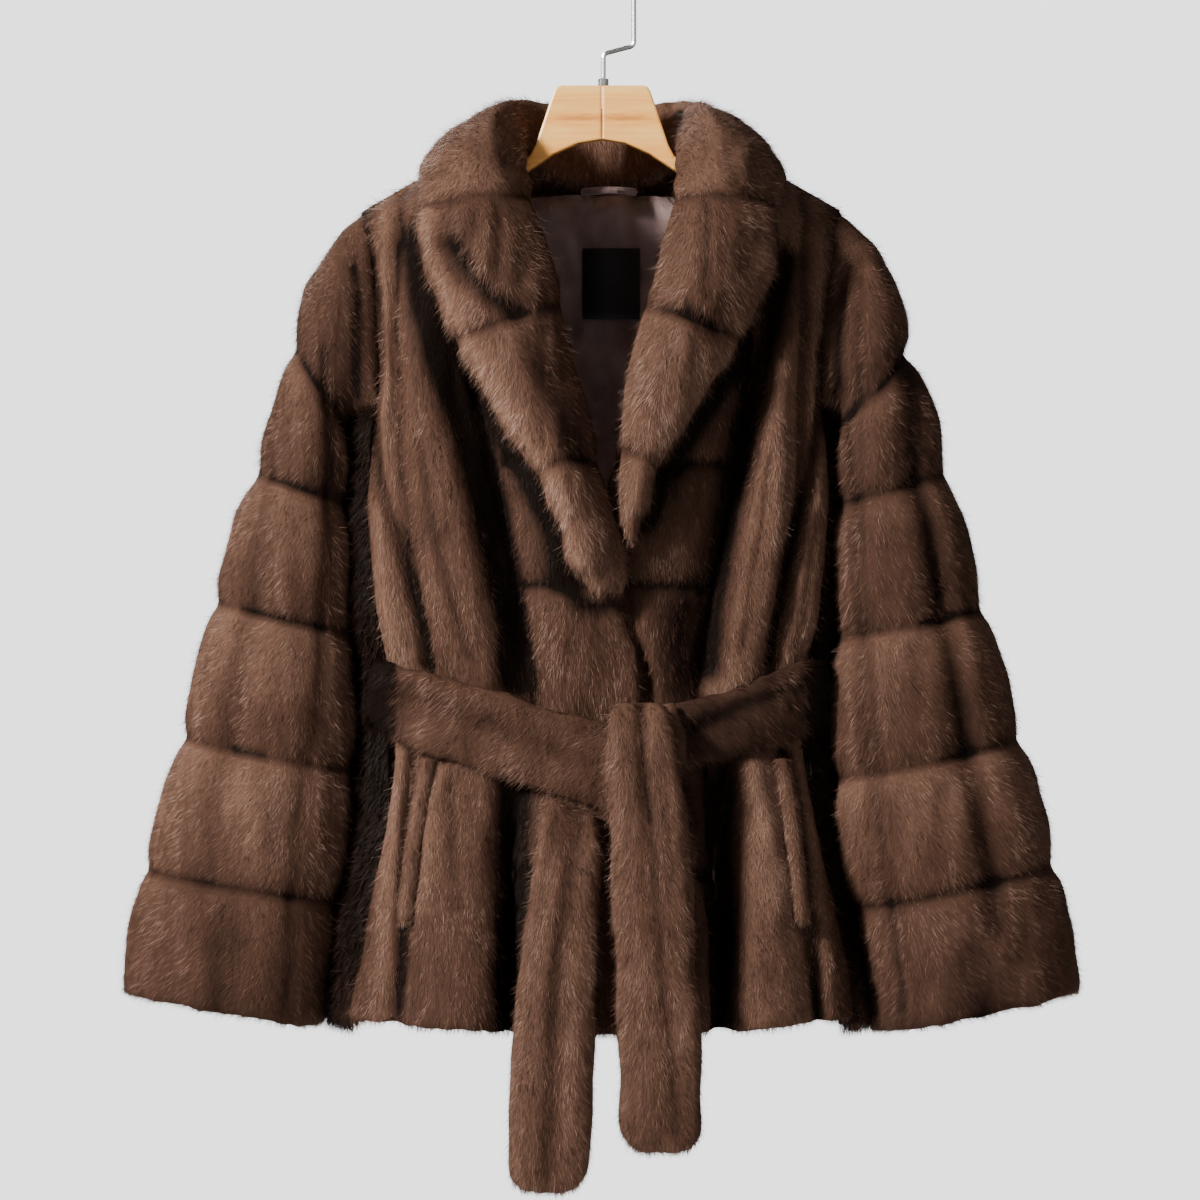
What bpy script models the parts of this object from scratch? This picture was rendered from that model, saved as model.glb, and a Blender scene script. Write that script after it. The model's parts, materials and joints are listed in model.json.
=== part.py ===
"""Belted faux fur jacket hanging on a wooden hanger.

The cloth is built as walls: every panel is an outer surface and a parallel
inner one, closed along its edges. The body is a tube of rounded sections that
closes over the hanger at the shoulders, the sleeves are tubes of pelt bands,
and collar, pocket lips and belt are laid on those surfaces from their points,
moved out. Tables and sizes are in millimetres, meshes in metres.

+Z is up, the front faces -Y, and the wearer's left is +X. The origin is the
inside top of the hanger's hook, the point that rests on a rail.
"""
import math
from collections import namedtuple

import bmesh
import bpy
import numpy as np
from mathutils import Vector
from mathutils.bvhtree import BVHTree

MM = 0.001
COLLECTION = "belted_fur_jacket"
FINISH = {                     # colour, roughness, metallic
    "fur": ((0.155, 0.078, 0.046), 0.75),
    "satin": ((0.060, 0.038, 0.034), 0.35),
    "label": ((0.012, 0.011, 0.012), 0.55),
    "wood": ((0.72, 0.47, 0.25), 0.45),
    "steel": ((0.62, 0.62, 0.64), 0.25, 1.0),
}

# ---- driving sizes, mm -------------------------------------------------
WALL = 7.0              # backing, pressed pile and lining together
SEAM_GAP = 0.4          # between sewn pieces
LAY_GAP = 1.2           # between a panel and what lies on it
COLLAR_GAP = 4.0
COLLAR_WALL = 10.0      # turned collar, fur on both sides
COLLAR_WALL_SHARE = 0.2  # of its width, where it runs out to a point
LINING_WALL = 1.5
LINING_EASE = 3.0       # between the back and its lining
LABEL_WALL = 0.8
LABEL_GAP = 1.6
SQUARENESS = 2.8        # of the body's rounded section, 2 is an ellipse
SLEEVE_SQUARENESS = 2.3
TAIL_SQUARENESS = 2.6
PILE = 4.0              # what the hair adds around a sleeve
NECK_HALF = 62.0        # where the shoulder slope starts
SHOULDER_SLOPE = 0.445
HEM_RISE = 9.0          # of the hem at the sides over the middle
HEM_RISE_FROM = 14      # the body row where it starts
HEM_HALF = 200.0

# ---- the body, from the shoulder seam (row 0) to the hem ---------------
# level: height at the neck point; follow: how far the row follows the
# shoulder slope; the half widths and the depths are from the middle.
BodyRow = namedtuple("BodyRow", "level follow half_right half_left front back")
BODY = (
    BodyRow(-142, 1.00, 186, 184, 0, 0),
    BodyRow(-150, 1.00, 186, 184, 33, 35),
    BodyRow(-173, 1.00, 186, 182, 57, 61),
    BodyRow(-204, 1.00, 186, 180, 66, 70),
    BodyRow(-250, 0.60, 186, 178, 72, 76),
    BodyRow(-300, 0.25, 186, 177, 75, 80),
    BodyRow(-345, 0.00, 186, 176, 76, 82),
    BodyRow(-383, 0.00, 187, 175, 76, 82),
    BodyRow(-430, 0.00, 188, 175, 75, 81),
    BodyRow(-474, 0.00, 187, 174, 74, 79),
    BodyRow(-515, 0.00, 182, 170, 71, 74),
    BodyRow(-547, 0.00, 174, 165, 66, 68),
    BodyRow(-585, 0.00, 174, 164, 60, 64),
    BodyRow(-625, 0.00, 181, 171, 66, 70),
    BodyRow(-665, 0.00, 188, 178, 74, 78),
    BodyRow(-710, 0.00, 194, 186, 81, 86),
    BodyRow(-760, 0.00, 199, 192, 88, 94),
    BodyRow(-803, 0.00, 204, 197, 93, 100),
)

# ---- seams of the fronts, one row for each body row, distance from the middle
# edge: closing edge, negative across the middle; valley: centre front to front
# panel; groove: front panel to front strip; side: armhole, then side panel.
SeamRow = namedtuple("SeamRow", "edge valley groove side")
SEAMS_RIGHT = (
    SeamRow(74, 108, 150, 180),
    SeamRow(74, 108, 150, 179),
    SeamRow(72, 109, 152, 176),
    SeamRow(68, 110, 154, 172),
    SeamRow(52, 107, 155, 170),
    SeamRow(36, 100, 153, 169),
    SeamRow(22, 91, 151, 170),
    SeamRow(12, 81, 149, 170),
    SeamRow(-2, 72, 144, 167),
    SeamRow(-10, 63, 139, 163),
    SeamRow(-20, 56, 132, 159),
    SeamRow(-27, 50, 127, 155),
    SeamRow(-33, 52, 130, 152),
    SeamRow(-50, 62, 136, 154),
    SeamRow(-66, 68, 142, 161),
    SeamRow(-75, 67, 147, 170),
    SeamRow(-77, 66, 151, 178),
    SeamRow(-78, 65, 154, 187),
)
SEAMS_LEFT = (
    SeamRow(74, 108, 150, 178),
    SeamRow(74, 108, 150, 177),
    SeamRow(72, 110, 151, 174),
    SeamRow(68, 113, 151, 170),
    SeamRow(50, 113, 150, 167),
    SeamRow(32, 110, 149, 166),
    SeamRow(18, 106, 147, 165),
    SeamRow(8, 101, 146, 164),
    SeamRow(-2, 93, 143, 162),
    SeamRow(8, 84, 137, 158),
    SeamRow(14, 76, 129, 153),
    SeamRow(18, 72, 125, 149),
    SeamRow(20, 74, 130, 147),
    SeamRow(20, 80, 141, 153),
    SeamRow(20, 84, 145, 161),
    SeamRow(20, 86, 149, 171),
    SeamRow(20, 87, 154, 180),
    SeamRow(20, 88, 161, 187),
)
LEFT_EDGE_CROSSES_AT = 8        # from this row on the left edge is past the middle
CENTRE_ROWS = (0, 7, 9, 12, 14.5, 17)     # horizontal seams of the centre fronts
BACK_SEAM = (74, 74, 74, 75, 76, 77, 78, 78, 77, 76, 74, 72, 72, 74, 77, 80, 84, 88)
BACK_NECK_ROW = 2.05
UNDERARM_ROW = 6
LAST_ROW = len(BODY) - 1
BODY_RADIUS = 110.0         # mean, to turn a gap into an angle
ROW_TRIM = 0.006            # half a seam gap, in rows
LANE_STEPS = {"centre": 4, "panel": 5, "strip": 3, "side": 3, "back_side": 4, "back_centre": 6}

# ---- relief of the worked pelts ----------------------------------------
STRIP_RIDGE = 5.0
PANEL_RIDGE = 10.0
CENTRE_RIDGE = 4.0
BACK_RIDGE = 5.0
VALLEY_DEPTH = 11.0
VALLEY_HALF = 11.0
LAP_SINK = 8.4          # how far the left front lies under the right one
LAP_BLEND = 8.0
LAP_MARGIN = 8.0        # the left front stays low this far past the right edge
RIDGE_FULLNESS = 0.8    # under 1 a ridge is fuller than a sine
RELIEF = (0, .25, .5, .8, 1, 1, 1, 1, 1, 1, .85, .42, .32, .45, .8, .9, .95, 1)

# ---- sleeves: rows at the head and at each band seam --------------------
SleeveRow = namedtuple("SleeveRow", "outer_x outer_z inner_x inner_z half_depth")
SLEEVE_RIGHT = (
    SleeveRow(-212, -231, -189.5, -351, 46),
    SleeveRow(-233, -291, -192.0, -359, 50),
    SleeveRow(-264, -388, -193.0, -412, 53),
    SleeveRow(-294, -485, -189.0, -510, 55),
    SleeveRow(-318, -587, -188.0, -613, 58),
    SleeveRow(-347, -686, -198.5, -711, 61),
    SleeveRow(-363, -776, -210.0, -800, 63),
)
SLEEVE_LEFT = (
    SleeveRow(212, -230, 180.5, -351, 46),
    SleeveRow(234, -294, 182.0, -359, 50),
    SleeveRow(262, -388, 182.0, -413, 54),
    SleeveRow(290, -491, 179.0, -514, 57),
    SleeveRow(318, -588, 178.5, -620, 60),
    SleeveRow(344, -683, 191.0, -716, 63),
    SleeveRow(361, -775, 202.5, -805, 65),
)
SLEEVE_SEAMS = (0, 2, 3, 4, 5, 6, 7)      # row numbers, 0 is the armhole
SLEEVE_TRIM = 0.0022        # half a seam gap, in rows
SLEEVE_STEPS = {1: 3}       # along a band, 2 where none is stated
SLEEVE_SEGMENTS = 18
ARMHOLE_OFF = 1.2           # below the shoulder seam
ARMHOLE_STEPS = 12
UNDERARM_STEPS = 8
SLEEVE_Y = -4.0
SLEEVE_PUFF = 3.0
SLEEVE_TROUGH = 6.0
TROUGH_TURN = math.radians(72)
TROUGH_HALF = math.radians(15)

# ---- shawl collar -------------------------------------------------------
# arch: how far the middle of the row stands above its ends; proud: out of the front
LapelRow = namedtuple("LapelRow", "inner_x inner_z outer_x outer_z arch proud")
LAPEL_RIGHT = (
    LapelRow(-52, -190, -135, -195, 5, 22),
    LapelRow(-39, -228, -129, -239, 3, 23),
    LapelRow(-30, -267, -107, -293, 2, 23),
    LapelRow(-18, -321, -80, -339, 4, 23),
    LapelRow(-2, -387, -47, -392, 9, 21),
    LapelRow(7, -425, -27, -433, 6, 17),
    LapelRow(15, -446, -24, -453, 3, 14),
    LapelRow(17, -463, -17, -467, 1, 10),
    LapelRow(14, -478, -6, -479, 0, 6),
)
LAPEL_LEFT = (
    LapelRow(53, -190, 127, -195, 5, 22),
    LapelRow(44, -229, 126, -236, 3, 23),
    LapelRow(32, -267, 101, -293, 2, 23),
    LapelRow(18, -320, 67, -343, 3, 21),
    LapelRow(13, -374, 40, -386, 4, 15),
    LapelRow(13, -410, 30, -413, 2, 9),
    LapelRow(19, -440, 24, -440, 0, 4),
)
NeckRow = namedtuple("NeckRow", "seam crest fall edge")
NECK = (        # from the front of the neck to the middle of the back, wearer's left
    NeckRow((57, -36, -163), (86, -56, -129), (118, -53, -150), (136, -44, -173)),
    NeckRow((58, -4, -139), (72, -2, -110), (110, -4, -133), (134, -2, -163)),
    NeckRow((54, 30, -150), (62, 34, -106), (95, 56, -124), (112, 62, -172)),
    NeckRow((30, 48, -165), (34, 54, -108), (50, 84, -124), (60, 95, -178)),
    NeckRow((0, 52, -169), (0, 60, -110), (0, 90, -126), (0, 101, -179)),
)
# part of the way across a lapel from its seam, and share of its proud height
LAPEL_SECTION = ((0.0, 0.0), (0.3, 0.9), (0.68, 1.0), (1.0, 0.0))
COLLAR_ACROSS = 6
COLLAR_TRIM = 0.005         # half a seam gap, in stations
COLLAR_STEPS = 1.3          # for each station
LAPEL_SEAMS_RIGHT = (0, 2, 4, 8)
LAPEL_SEAMS_LEFT = (0, 2, 4, 6)

# ---- belt ---------------------------------------------------------------
BELT_THICK = 11.0
BELT_STAND_OFF = 6.0
BELT_BACK_THICK = 7.0       # drawn thin round the sides and the back
BELT_BACK_STAND_OFF = 5.6
BELT_JOIN_GAP = 2.6
BeltRow = namedtuple("BeltRow", "x top bottom")
BELT_RIGHT = (
    BeltRow(-163, -529, -578),
    BeltRow(-150, -533, -590),
    BeltRow(-131, -538, -598),
    BeltRow(-104, -545, -607),
    BeltRow(-77, -553, -614),
    BeltRow(-50, -560, -625),
    BeltRow(-24, -568, -635),
    BeltRow(2, -576, -641),
    BeltRow(22, -580, -643),
)
BELT_LEFT = (
    BeltRow(26, -571, -624),
    BeltRow(56, -563, -613),
    BeltRow(80, -554, -606),
    BeltRow(104, -545, -600),
    BeltRow(128, -537, -594),
    BeltRow(144, -532, -588),
    BeltRow(154, -529, -578),
)
BELT_BACK_TOP = -529.0
BELT_BACK_BOTTOM = -590.0
BELT_BACK_STEPS = 12
BELT_SECTION = (            # part of the half height, part of the thickness
    (-1, 0.0), (-0.5, 0.0), (0, 0.0), (0.5, 0.0), (1, 0.0), (1, 0.45),
    (0.8, 0.85), (0.4, 1.0), (0, 1.0), (-0.4, 1.0), (-0.8, 0.85), (-1, 0.45),
)

# tilt: how far a row drops for each mm to the left
TailRow = namedtuple("TailRow", "z middle_x half_width back_y thick tilt")
TAIL_FRONT = (
    TailRow(-562, 26, 15, -91, 9, 0),
    TailRow(-567, 27, 22, -92, 17, 0),
    TailRow(-590, 29, 25.5, -93, 22, 0),
    TailRow(-625, 33, 27.5, -93, 22, 0),
    TailRow(-660, 35, 28, -94, 22, 0),
    TailRow(-720, 38, 28.5, -97, 22, 0),
    TailRow(-780, 41, 28.5, -102, 22, 0),
    TailRow(-830, 43, 28.5, -106, 22, 0),
    TailRow(-866, 43, 28.5, -107, 21, 0),
    TailRow(-880, 43, 26, -108, 18, 0),
    TailRow(-887, 43, 18, -110, 11, 0),
)
TAIL_UNDER = (
    TailRow(-638, -22, 17, -80, 12, 0.3),
    TailRow(-652, -24, 22, -84, 18, 0.2),
    TailRow(-690, -27, 25, -91, 21, 0),
    TailRow(-730, -30, 26.5, -97, 21, 0),
    TailRow(-780, -34, 28, -103, 22, 0),
    TailRow(-835, -37, 28.5, -107, 22, 0),
    TailRow(-882, -38, 28.5, -108, 22, 0),
    TailRow(-902, -38, 27.5, -108, 20, 0),
    TailRow(-912, -38, 24, -109, 17, 0),
    TailRow(-917, -38, 16, -111, 11, 0),
)
TAIL_GROOVE = 2.0
KNOT = TailRow(-592, 46, 14, -79, 13, 0)
KNOT_HALF_HEIGHT = 30.0
KNOT_END = 0.93             # where the knot's rounding is cut off
KNOT_FULLNESS = 0.7

# ---- pocket lips, hang loop, label --------------------------------------
POCKET_TOP = -606.0
POCKET_BOTTOM = -724.0
POCKET_WIDTH = 8.0
POCKET_THICK = 7.0
POCKET_SETBACK = 1.0        # from the groove
POCKET_SECTION = ((0.0, 0.7), (0.5, 1.0), (1.0, 0.5))   # across, part of the thickness
LINING_FIRST_ROW = 2.35
LINING_LAST_ROW = 16.4
LINING_HALF_TURN = math.radians(52)
PLEAT_DEPTH = 5.0
PLEAT_HALF = math.radians(2.2)
LABEL_LEFT = -15.0
LABEL_RIGHT = 29.0
LABEL_TOP = -216.0
LABEL_BOTTOM = -270.0
LOOP_ENDS = (-14.0, 25.0)
LOOP_Z = -173.5
LOOP_Y = 47.5
LOOP_BOW = 16.0
LOOP_RADIUS = 3.0

# ---- hanger -------------------------------------------------------------
HANGER_THICK = 14.0
HANGER_ROUND = 1.5
NUT_RADIUS = 4.0
NUT_HEIGHT = 5.0
WIRE_RADIUS = 1.9
HOOK_ARC_RADIUS = 24.0      # to the wire's middle
HOOK_ARC = (-6.0, 194.0)    # degrees, from where it leaves the stem to its tip
HOOK_BEND_RADIUS = 4.0
HOOK_JOG_Z = -70.0
HOOK_JOG_HALF = 2.0
HOOK_FOOT_X = 1.0
HOOK_GAP = 0.4
HANGER_TOP_Z = -97.5
# Outline of one half, from the top of the middle seam along the arm and back
# under it. Each row is a point (x, z).
ARM_TOP = ((31, -97.5), (34.5, -98.6), (36.5, -102), (42, -118), (50, -142), (54.5, -150.5),
           (62, -156), (80, -164), (100, -172.5), (138, -190), (170, -205), (186, -214))
ARM_TIP = ((192, -220), (193.5, -227), (190, -233), (182, -233.5))
ARM_UNDER = ((160, -222), (130, -208), (100, -192), (76, -176), (52, -159.5), (36, -149),
             (18, -141), (0, -138))

# ---- working values ------------------------------------------------------
FINE = 1e-4                 # m, to merge points
SMALL_TURN = 0.02           # radians, to measure a slope
SMALL_ROW = 0.05            # rows, to measure a slope
ROW_SAMPLES = 400
FAR = 400.0
OUTER_SURFACES = []         # grids that later pieces are laid on


def clear_scene():
    for old in list(bpy.data.objects):
        bpy.data.objects.remove(old, do_unlink=True)


def material(name, colour, roughness, metallic=0.0):
    made = bpy.data.materials.new(name)
    made.use_nodes = True
    shader = made.node_tree.nodes["Principled BSDF"]
    shader.inputs["Base Color"].default_value = (*colour, 1.0)
    shader.inputs["Roughness"].default_value = roughness
    shader.inputs["Metallic"].default_value = metallic
    made.diffuse_color = (*colour, 1.0)
    return made


def add_object(name, mesh, kind):
    """Gives a mesh its own material and puts it in the jacket's collection."""
    obj = bpy.data.objects.new(name, mesh)
    mesh.materials.clear()
    mesh.materials.append(material(name, *FINISH[kind]))
    bpy.data.collections[COLLECTION].objects.link(obj)
    return obj


def mesh_object(name, points, faces, kind):
    mesh = bpy.data.meshes.new(name)
    mesh.from_pydata([Vector(p) * MM for p in points], [], faces)
    shell = bmesh.new()
    shell.from_mesh(mesh)
    bmesh.ops.recalc_face_normals(shell, faces=shell.faces)
    shell.to_mesh(mesh)
    shell.free()
    mesh.shade_smooth()
    mesh.set_sharp_from_angle(angle=math.radians(50))
    return add_object(name, mesh, kind)


# ---- walls and lofts ----------------------------------------------------
def wall(name, outer, inner, kind, wrap=False):
    """A closed wall between two grids of points, open in the middle if it wraps."""
    rows, cols = outer.shape[:2]
    points = np.concatenate([outer.reshape(-1, 3), inner.reshape(-1, 3)])
    lift = rows * cols
    spans = cols if wrap else cols - 1

    def at(row, col, layer=0):
        return layer * lift + row * cols + col % cols

    faces = []
    for row in range(rows - 1):
        for col in range(spans):
            quad = (at(row, col), at(row, col + 1), at(row + 1, col + 1), at(row + 1, col))
            faces.append(quad)
            faces.append(tuple(lift + corner for corner in reversed(quad)))
    for col in range(spans):
        for row in (0, rows - 1):
            faces.append((at(row, col), at(row, col, 1), at(row, col + 1, 1), at(row, col + 1)))
    if not wrap:
        for row in range(rows - 1):
            for col in (0, cols - 1):
                faces.append((at(row, col), at(row + 1, col), at(row + 1, col, 1), at(row, col, 1)))
    return mesh_object(name, points, faces, kind)


def loft(name, rings, kind):
    """A closed solid through rings of points with flat end caps."""
    count = len(rings[0])
    points = [p for ring in rings for p in ring]
    faces = [tuple(range(count)), tuple(range((len(rings) - 1) * count, len(rings) * count))]
    for row in range(len(rings) - 1):
        for k in range(count):
            nxt = (k + 1) % count
            low = row * count
            high = low + count
            faces.append((low + k, low + nxt, high + nxt, high + k))
    return mesh_object(name, points, faces, kind)


def spline(rows, place):
    """Catmull-Rom value of a table's rows at a place between two of them."""
    rows = np.asarray(rows, float)
    last = len(rows) - 1
    k = int(min(max(math.floor(place), 0), last - 1))
    t = place - k
    before = rows[k - 1] if k > 0 else 2 * rows[k] - rows[k + 1]
    after = rows[k + 2] if k + 2 <= last else 2 * rows[k + 1] - rows[k]
    a, b = rows[k], rows[k + 1]
    return 0.5 * (2 * a + (b - before) * t + (2 * before - 5 * a + 4 * b - after) * t ** 2
                  + (3 * a - before - 3 * b + after) * t ** 3)


def steps(low, high, count):
    return [low + (high - low) * k / count for k in range(count + 1)]


# ---- the body surface ---------------------------------------------------
OVER_SHOULDER = BodyRow(*BODY[1][:4], -BODY[1].front, -BODY[1].back)
BODY_MIRRORED = (OVER_SHOULDER,) + BODY       # so that the shoulder is rounded over


def body_row(row):
    return BodyRow(*spline(BODY_MIRRORED, row + 1))


def power(value, exponent):
    return math.copysign(abs(value) ** exponent, value)


def body_base(turn, row):
    """A point of the smooth body; turn is 0 at the front and grows to the left."""
    sizes = body_row(row)
    half = sizes.half_left if math.sin(turn) > 0 else sizes.half_right
    depth = sizes.front if math.cos(turn) > 0 else sizes.back
    x = half * power(math.sin(turn), 2 / SQUARENESS)
    y = -depth * power(math.cos(turn), 2 / SQUARENESS)
    drop = SHOULDER_SLOPE * max(abs(x) - NECK_HALF, 0.0)
    low = max(row - HEM_RISE_FROM, 0) / (LAST_ROW - HEM_RISE_FROM)
    rise = HEM_RISE * low * (x / HEM_HALF) ** 2
    return np.array((x, y, sizes.level - sizes.follow * drop + rise))


def body_normal(turn, row):
    """Outward direction of the smooth body."""
    across = body_base(turn + SMALL_TURN, row) - body_base(turn - SMALL_TURN, row)
    down = body_base(turn, row + SMALL_ROW) - body_base(turn, row - SMALL_ROW)
    out = np.cross(down, across)
    return out / np.linalg.norm(out)


def turn_at(x, row, back=False):
    """The turn at which the body's row stands at x."""
    sizes = body_row(row)
    half = sizes.half_left if x > 0 else sizes.half_right
    turn = math.copysign(math.asin(min(abs(x) / half, 1.0) ** (SQUARENESS / 2)), x)
    return math.copysign(math.pi, x) - turn if back else turn


def row_at(level):
    rows = np.linspace(0, LAST_ROW, ROW_SAMPLES)
    return float(np.interp(-level, [-body_row(r).level for r in rows], rows))


def seams(side, row):
    """Seam distances of a front at a row, signed: side is -1 right, +1 left."""
    table = SEAMS_RIGHT if side < 0 else SEAMS_LEFT
    found = SeamRow(*(spline(table, row)))
    if side > 0:
        crossing = spline([r.edge if k < LEFT_EDGE_CROSSES_AT else -abs(r.edge)
                           for k, r in enumerate(SEAMS_LEFT)], row)
        found = found._replace(edge=crossing)
    return SeamRow(*(side * value for value in found))


def relief(x, row, side, lane):
    """How far a lane's fur stands out of the smooth body at x."""
    strength = float(np.interp(row, range(len(RELIEF)), RELIEF))
    lines = seams(side, row)
    valley = -VALLEY_DEPTH * math.exp(-((x - lines.valley) / VALLEY_HALF) ** 2)
    spans = {"strip": (lines.side, lines.groove, STRIP_RIDGE),
             "panel": (lines.groove, lines.valley, PANEL_RIDGE),
             "centre": (lines.valley, lines.edge, CENTRE_RIDGE)}
    start, end, height = spans[lane]
    part = min(max((x - start) / (end - start), 0.0), 1.0)
    raised = height * math.sin(math.pi * part) ** RIDGE_FULLNESS
    lapped = lap_share(x, row, side)
    return strength * (raised + valley) * (1 - lapped) - LAP_SINK * lapped


def lap_share(x, row, side):
    """1 where the right front laps over the left one, which is lowered there."""
    if side < 0 or row < LEFT_EDGE_CROSSES_AT - 2:
        return 0.0
    reach = seams(-1, row).edge + LAP_MARGIN + LAP_BLEND
    part = min(max((reach - x) / LAP_BLEND, 0.0), 1.0)
    return part * part * (3 - 2 * part)


def lap_columns(lines, row):
    """Columns of the left centre front that follow the lap's step."""
    width = lines.valley - lines.edge
    step_top = seams(-1, row).edge + LAP_MARGIN + LAP_BLEND
    step_top = min(max(step_top, lines.edge + 0.2 * width), lines.valley - 0.03 * width)
    step_foot = step_top - min(LAP_BLEND, 0.3 * width)
    return ((lines.valley + step_top) / 2, step_top, step_foot, (step_foot + lines.edge) / 2)


def back_relief(part, row, ridges):
    strength = float(np.interp(row, range(len(RELIEF)), RELIEF))
    return strength * BACK_RIDGE * abs(math.sin(math.pi * part * ridges))


def body_grid(turns, rows, raise_by):
    """Outer and inner points of a panel; turns and raise_by are functions of the row."""
    outer, inner = [], []
    for row in rows:
        line = []
        for k, turn in enumerate(turns(row)):
            point, out = body_base(turn, row), body_normal(turn, row)
            high = raise_by(point[0], row, k)
            line.append((point + out * high, point + out * (high - WALL)))
        outer.append([p for p, q in line])
        inner.append([q for p, q in line])
    return np.array(outer), np.array(inner)


def seam_turn(gap=SEAM_GAP):
    return gap / BODY_RADIUS


def panel_rows(first, last):
    """The body rows between two places, with half a seam gap at each end."""
    start = first + (ROW_TRIM if first > 0 else 0)
    end = last - (ROW_TRIM if last < LAST_ROW else 0)
    inside = [row for row in range(LAST_ROW + 1) if start + 0.3 < row < end - 0.3]
    return [start] + inside + [end]


def body_panel(name, turns, rows, raise_by, keep_side):
    """One panel; keep_side is -1 in front of the shoulder seam, +1 behind, 0 under the arm."""
    outer, inner = body_grid(turns, rows, raise_by)
    for grid in (outer, inner):
        if keep_side < 0:
            grid[..., 1] = np.minimum(grid[..., 1], -SEAM_GAP / 2)
        if keep_side > 0:
            grid[..., 1] = np.maximum(grid[..., 1], SEAM_GAP / 2)
    OUTER_SURFACES.append(outer)
    return wall(name, outer, inner, "fur")


def front_lane(side, lane, start, end):
    """Turns and relief of a lane of a front, between two of its seams."""
    count = LANE_STEPS[lane]

    def turns(row):
        lines = seams(side, row)
        low = turn_at(getattr(lines, start), row)
        high = turn_at(getattr(lines, end), row)
        trim = math.copysign(seam_turn() / 2, high - low)
        if side > 0 and lane == "centre":
            middle = [turn_at(x, row) for x in lap_columns(lines, row)]
            return [low + trim] + middle + [high - trim]
        return steps(low + trim, high - trim, count)

    def raise_by(x, row, k):
        return relief(x, row, side, lane)

    return turns, raise_by


def build_fronts():
    for side, hand in ((-1, "right"), (1, "left")):
        all_rows = panel_rows(0, LAST_ROW)
        turns, raise_by = front_lane(side, "strip", "side", "groove")
        body_panel(f"front_strip_{hand}", turns, all_rows, raise_by, -1)
        turns, raise_by = front_lane(side, "panel", "groove", "valley")
        body_panel(f"front_panel_{hand}", turns, all_rows, raise_by, -1)
        turns, raise_by = front_lane(side, "centre", "valley", "edge")
        for number, (first, last) in enumerate(zip(CENTRE_ROWS, CENTRE_ROWS[1:]), 1):
            rows = panel_rows(first, last)
            body_panel(f"front_centre_{hand}_{number}", turns, rows, raise_by, -1)


def build_sides():
    for side, hand in ((-1, "right"), (1, "left")):
        def turns(row, side=side):
            x = seams(side, row).side
            low, high = turn_at(x, row), turn_at(x, row, back=True)
            trim = math.copysign(seam_turn() / 2, high - low)
            return steps(low + trim, high - trim, LANE_STEPS["side"])

        body_panel(f"side_panel_{hand}", turns, panel_rows(UNDERARM_ROW, LAST_ROW),
                   lambda x, row, k: 0.0, 0)


def build_back():
    for side, hand in ((-1, "right"), (1, "left")):
        def turns(row, side=side):
            low = turn_at(seams(side, row).side, row, back=True)
            high = turn_at(side * float(spline(BACK_SEAM, row)), row, back=True)
            trim = math.copysign(seam_turn() / 2, high - low)
            return steps(low + trim, high - trim, LANE_STEPS["back_side"])

        body_panel(f"back_side_{hand}", turns, panel_rows(0, LAST_ROW),
                   lambda x, row, k: back_relief(k / LANE_STEPS["back_side"], row, 2), 1)

    def centre_turns(row):
        x = float(spline(BACK_SEAM, row))
        low = turn_at(x, row, back=True) + seam_turn() / 2
        high = 2 * math.pi + turn_at(-x, row, back=True) - seam_turn() / 2
        return steps(low, high, LANE_STEPS["back_centre"])

    body_panel("back_centre", centre_turns, panel_rows(BACK_NECK_ROW, LAST_ROW),
               lambda x, row, k: back_relief(k / LANE_STEPS["back_centre"], row, 2), 1)


# ---- sleeves ------------------------------------------------------------
def armhole(side):
    """The armhole's loop of points: shoulder, front edge, underarm, back edge."""
    rows = steps(0, UNDERARM_ROW, ARMHOLE_STEPS)
    front = [body_base(turn_at(seams(side, r).side, r), r) for r in rows]
    back = [body_base(turn_at(seams(side, r).side, r, back=True), r) for r in reversed(rows)]
    low = turn_at(seams(side, UNDERARM_ROW).side, UNDERARM_ROW)
    high = turn_at(seams(side, UNDERARM_ROW).side, UNDERARM_ROW, back=True)
    under = [body_base(turn, UNDERARM_ROW) for turn in steps(low, high, UNDERARM_STEPS)[1:-1]]
    return np.array(front + under + back)


def loop_point(loop, part):
    """The point at a part of a closed loop's length."""
    lengths = np.concatenate([[0.0], np.cumsum(np.linalg.norm(np.diff(loop, axis=0), axis=1))])
    place = part % 1.0 * lengths[-1]
    return np.array([np.interp(place, lengths, loop[:, axis]) for axis in range(3)])


def sleeve_base(side, loop, row, turn):
    """A point of the smooth sleeve; turn is 0 along the top and grows to the front."""
    table = SLEEVE_RIGHT if side < 0 else SLEEVE_LEFT
    rings = [loop_point(loop, turn / (2 * math.pi)) + np.array((side, 0, ARMHOLE_OFF))]
    for sizes in table:
        outer = np.array((sizes.outer_x, SLEEVE_Y, sizes.outer_z))
        inner = np.array((sizes.inner_x, SLEEVE_Y, sizes.inner_z))
        middle, reach = (outer + inner) / 2, (outer - inner) / 2
        reach = reach * (1 - PILE / (2 * np.linalg.norm(reach)))
        middle = middle - reach / np.linalg.norm(reach) * PILE / 2
        across = reach * power(math.cos(turn), 2 / SLEEVE_SQUARENESS)
        forward = sizes.half_depth * power(math.sin(turn), 2 / SLEEVE_SQUARENESS)
        deep = np.array((0, -forward, 0))
        rings.append(middle + across + deep)
    return spline(rings, row)


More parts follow.
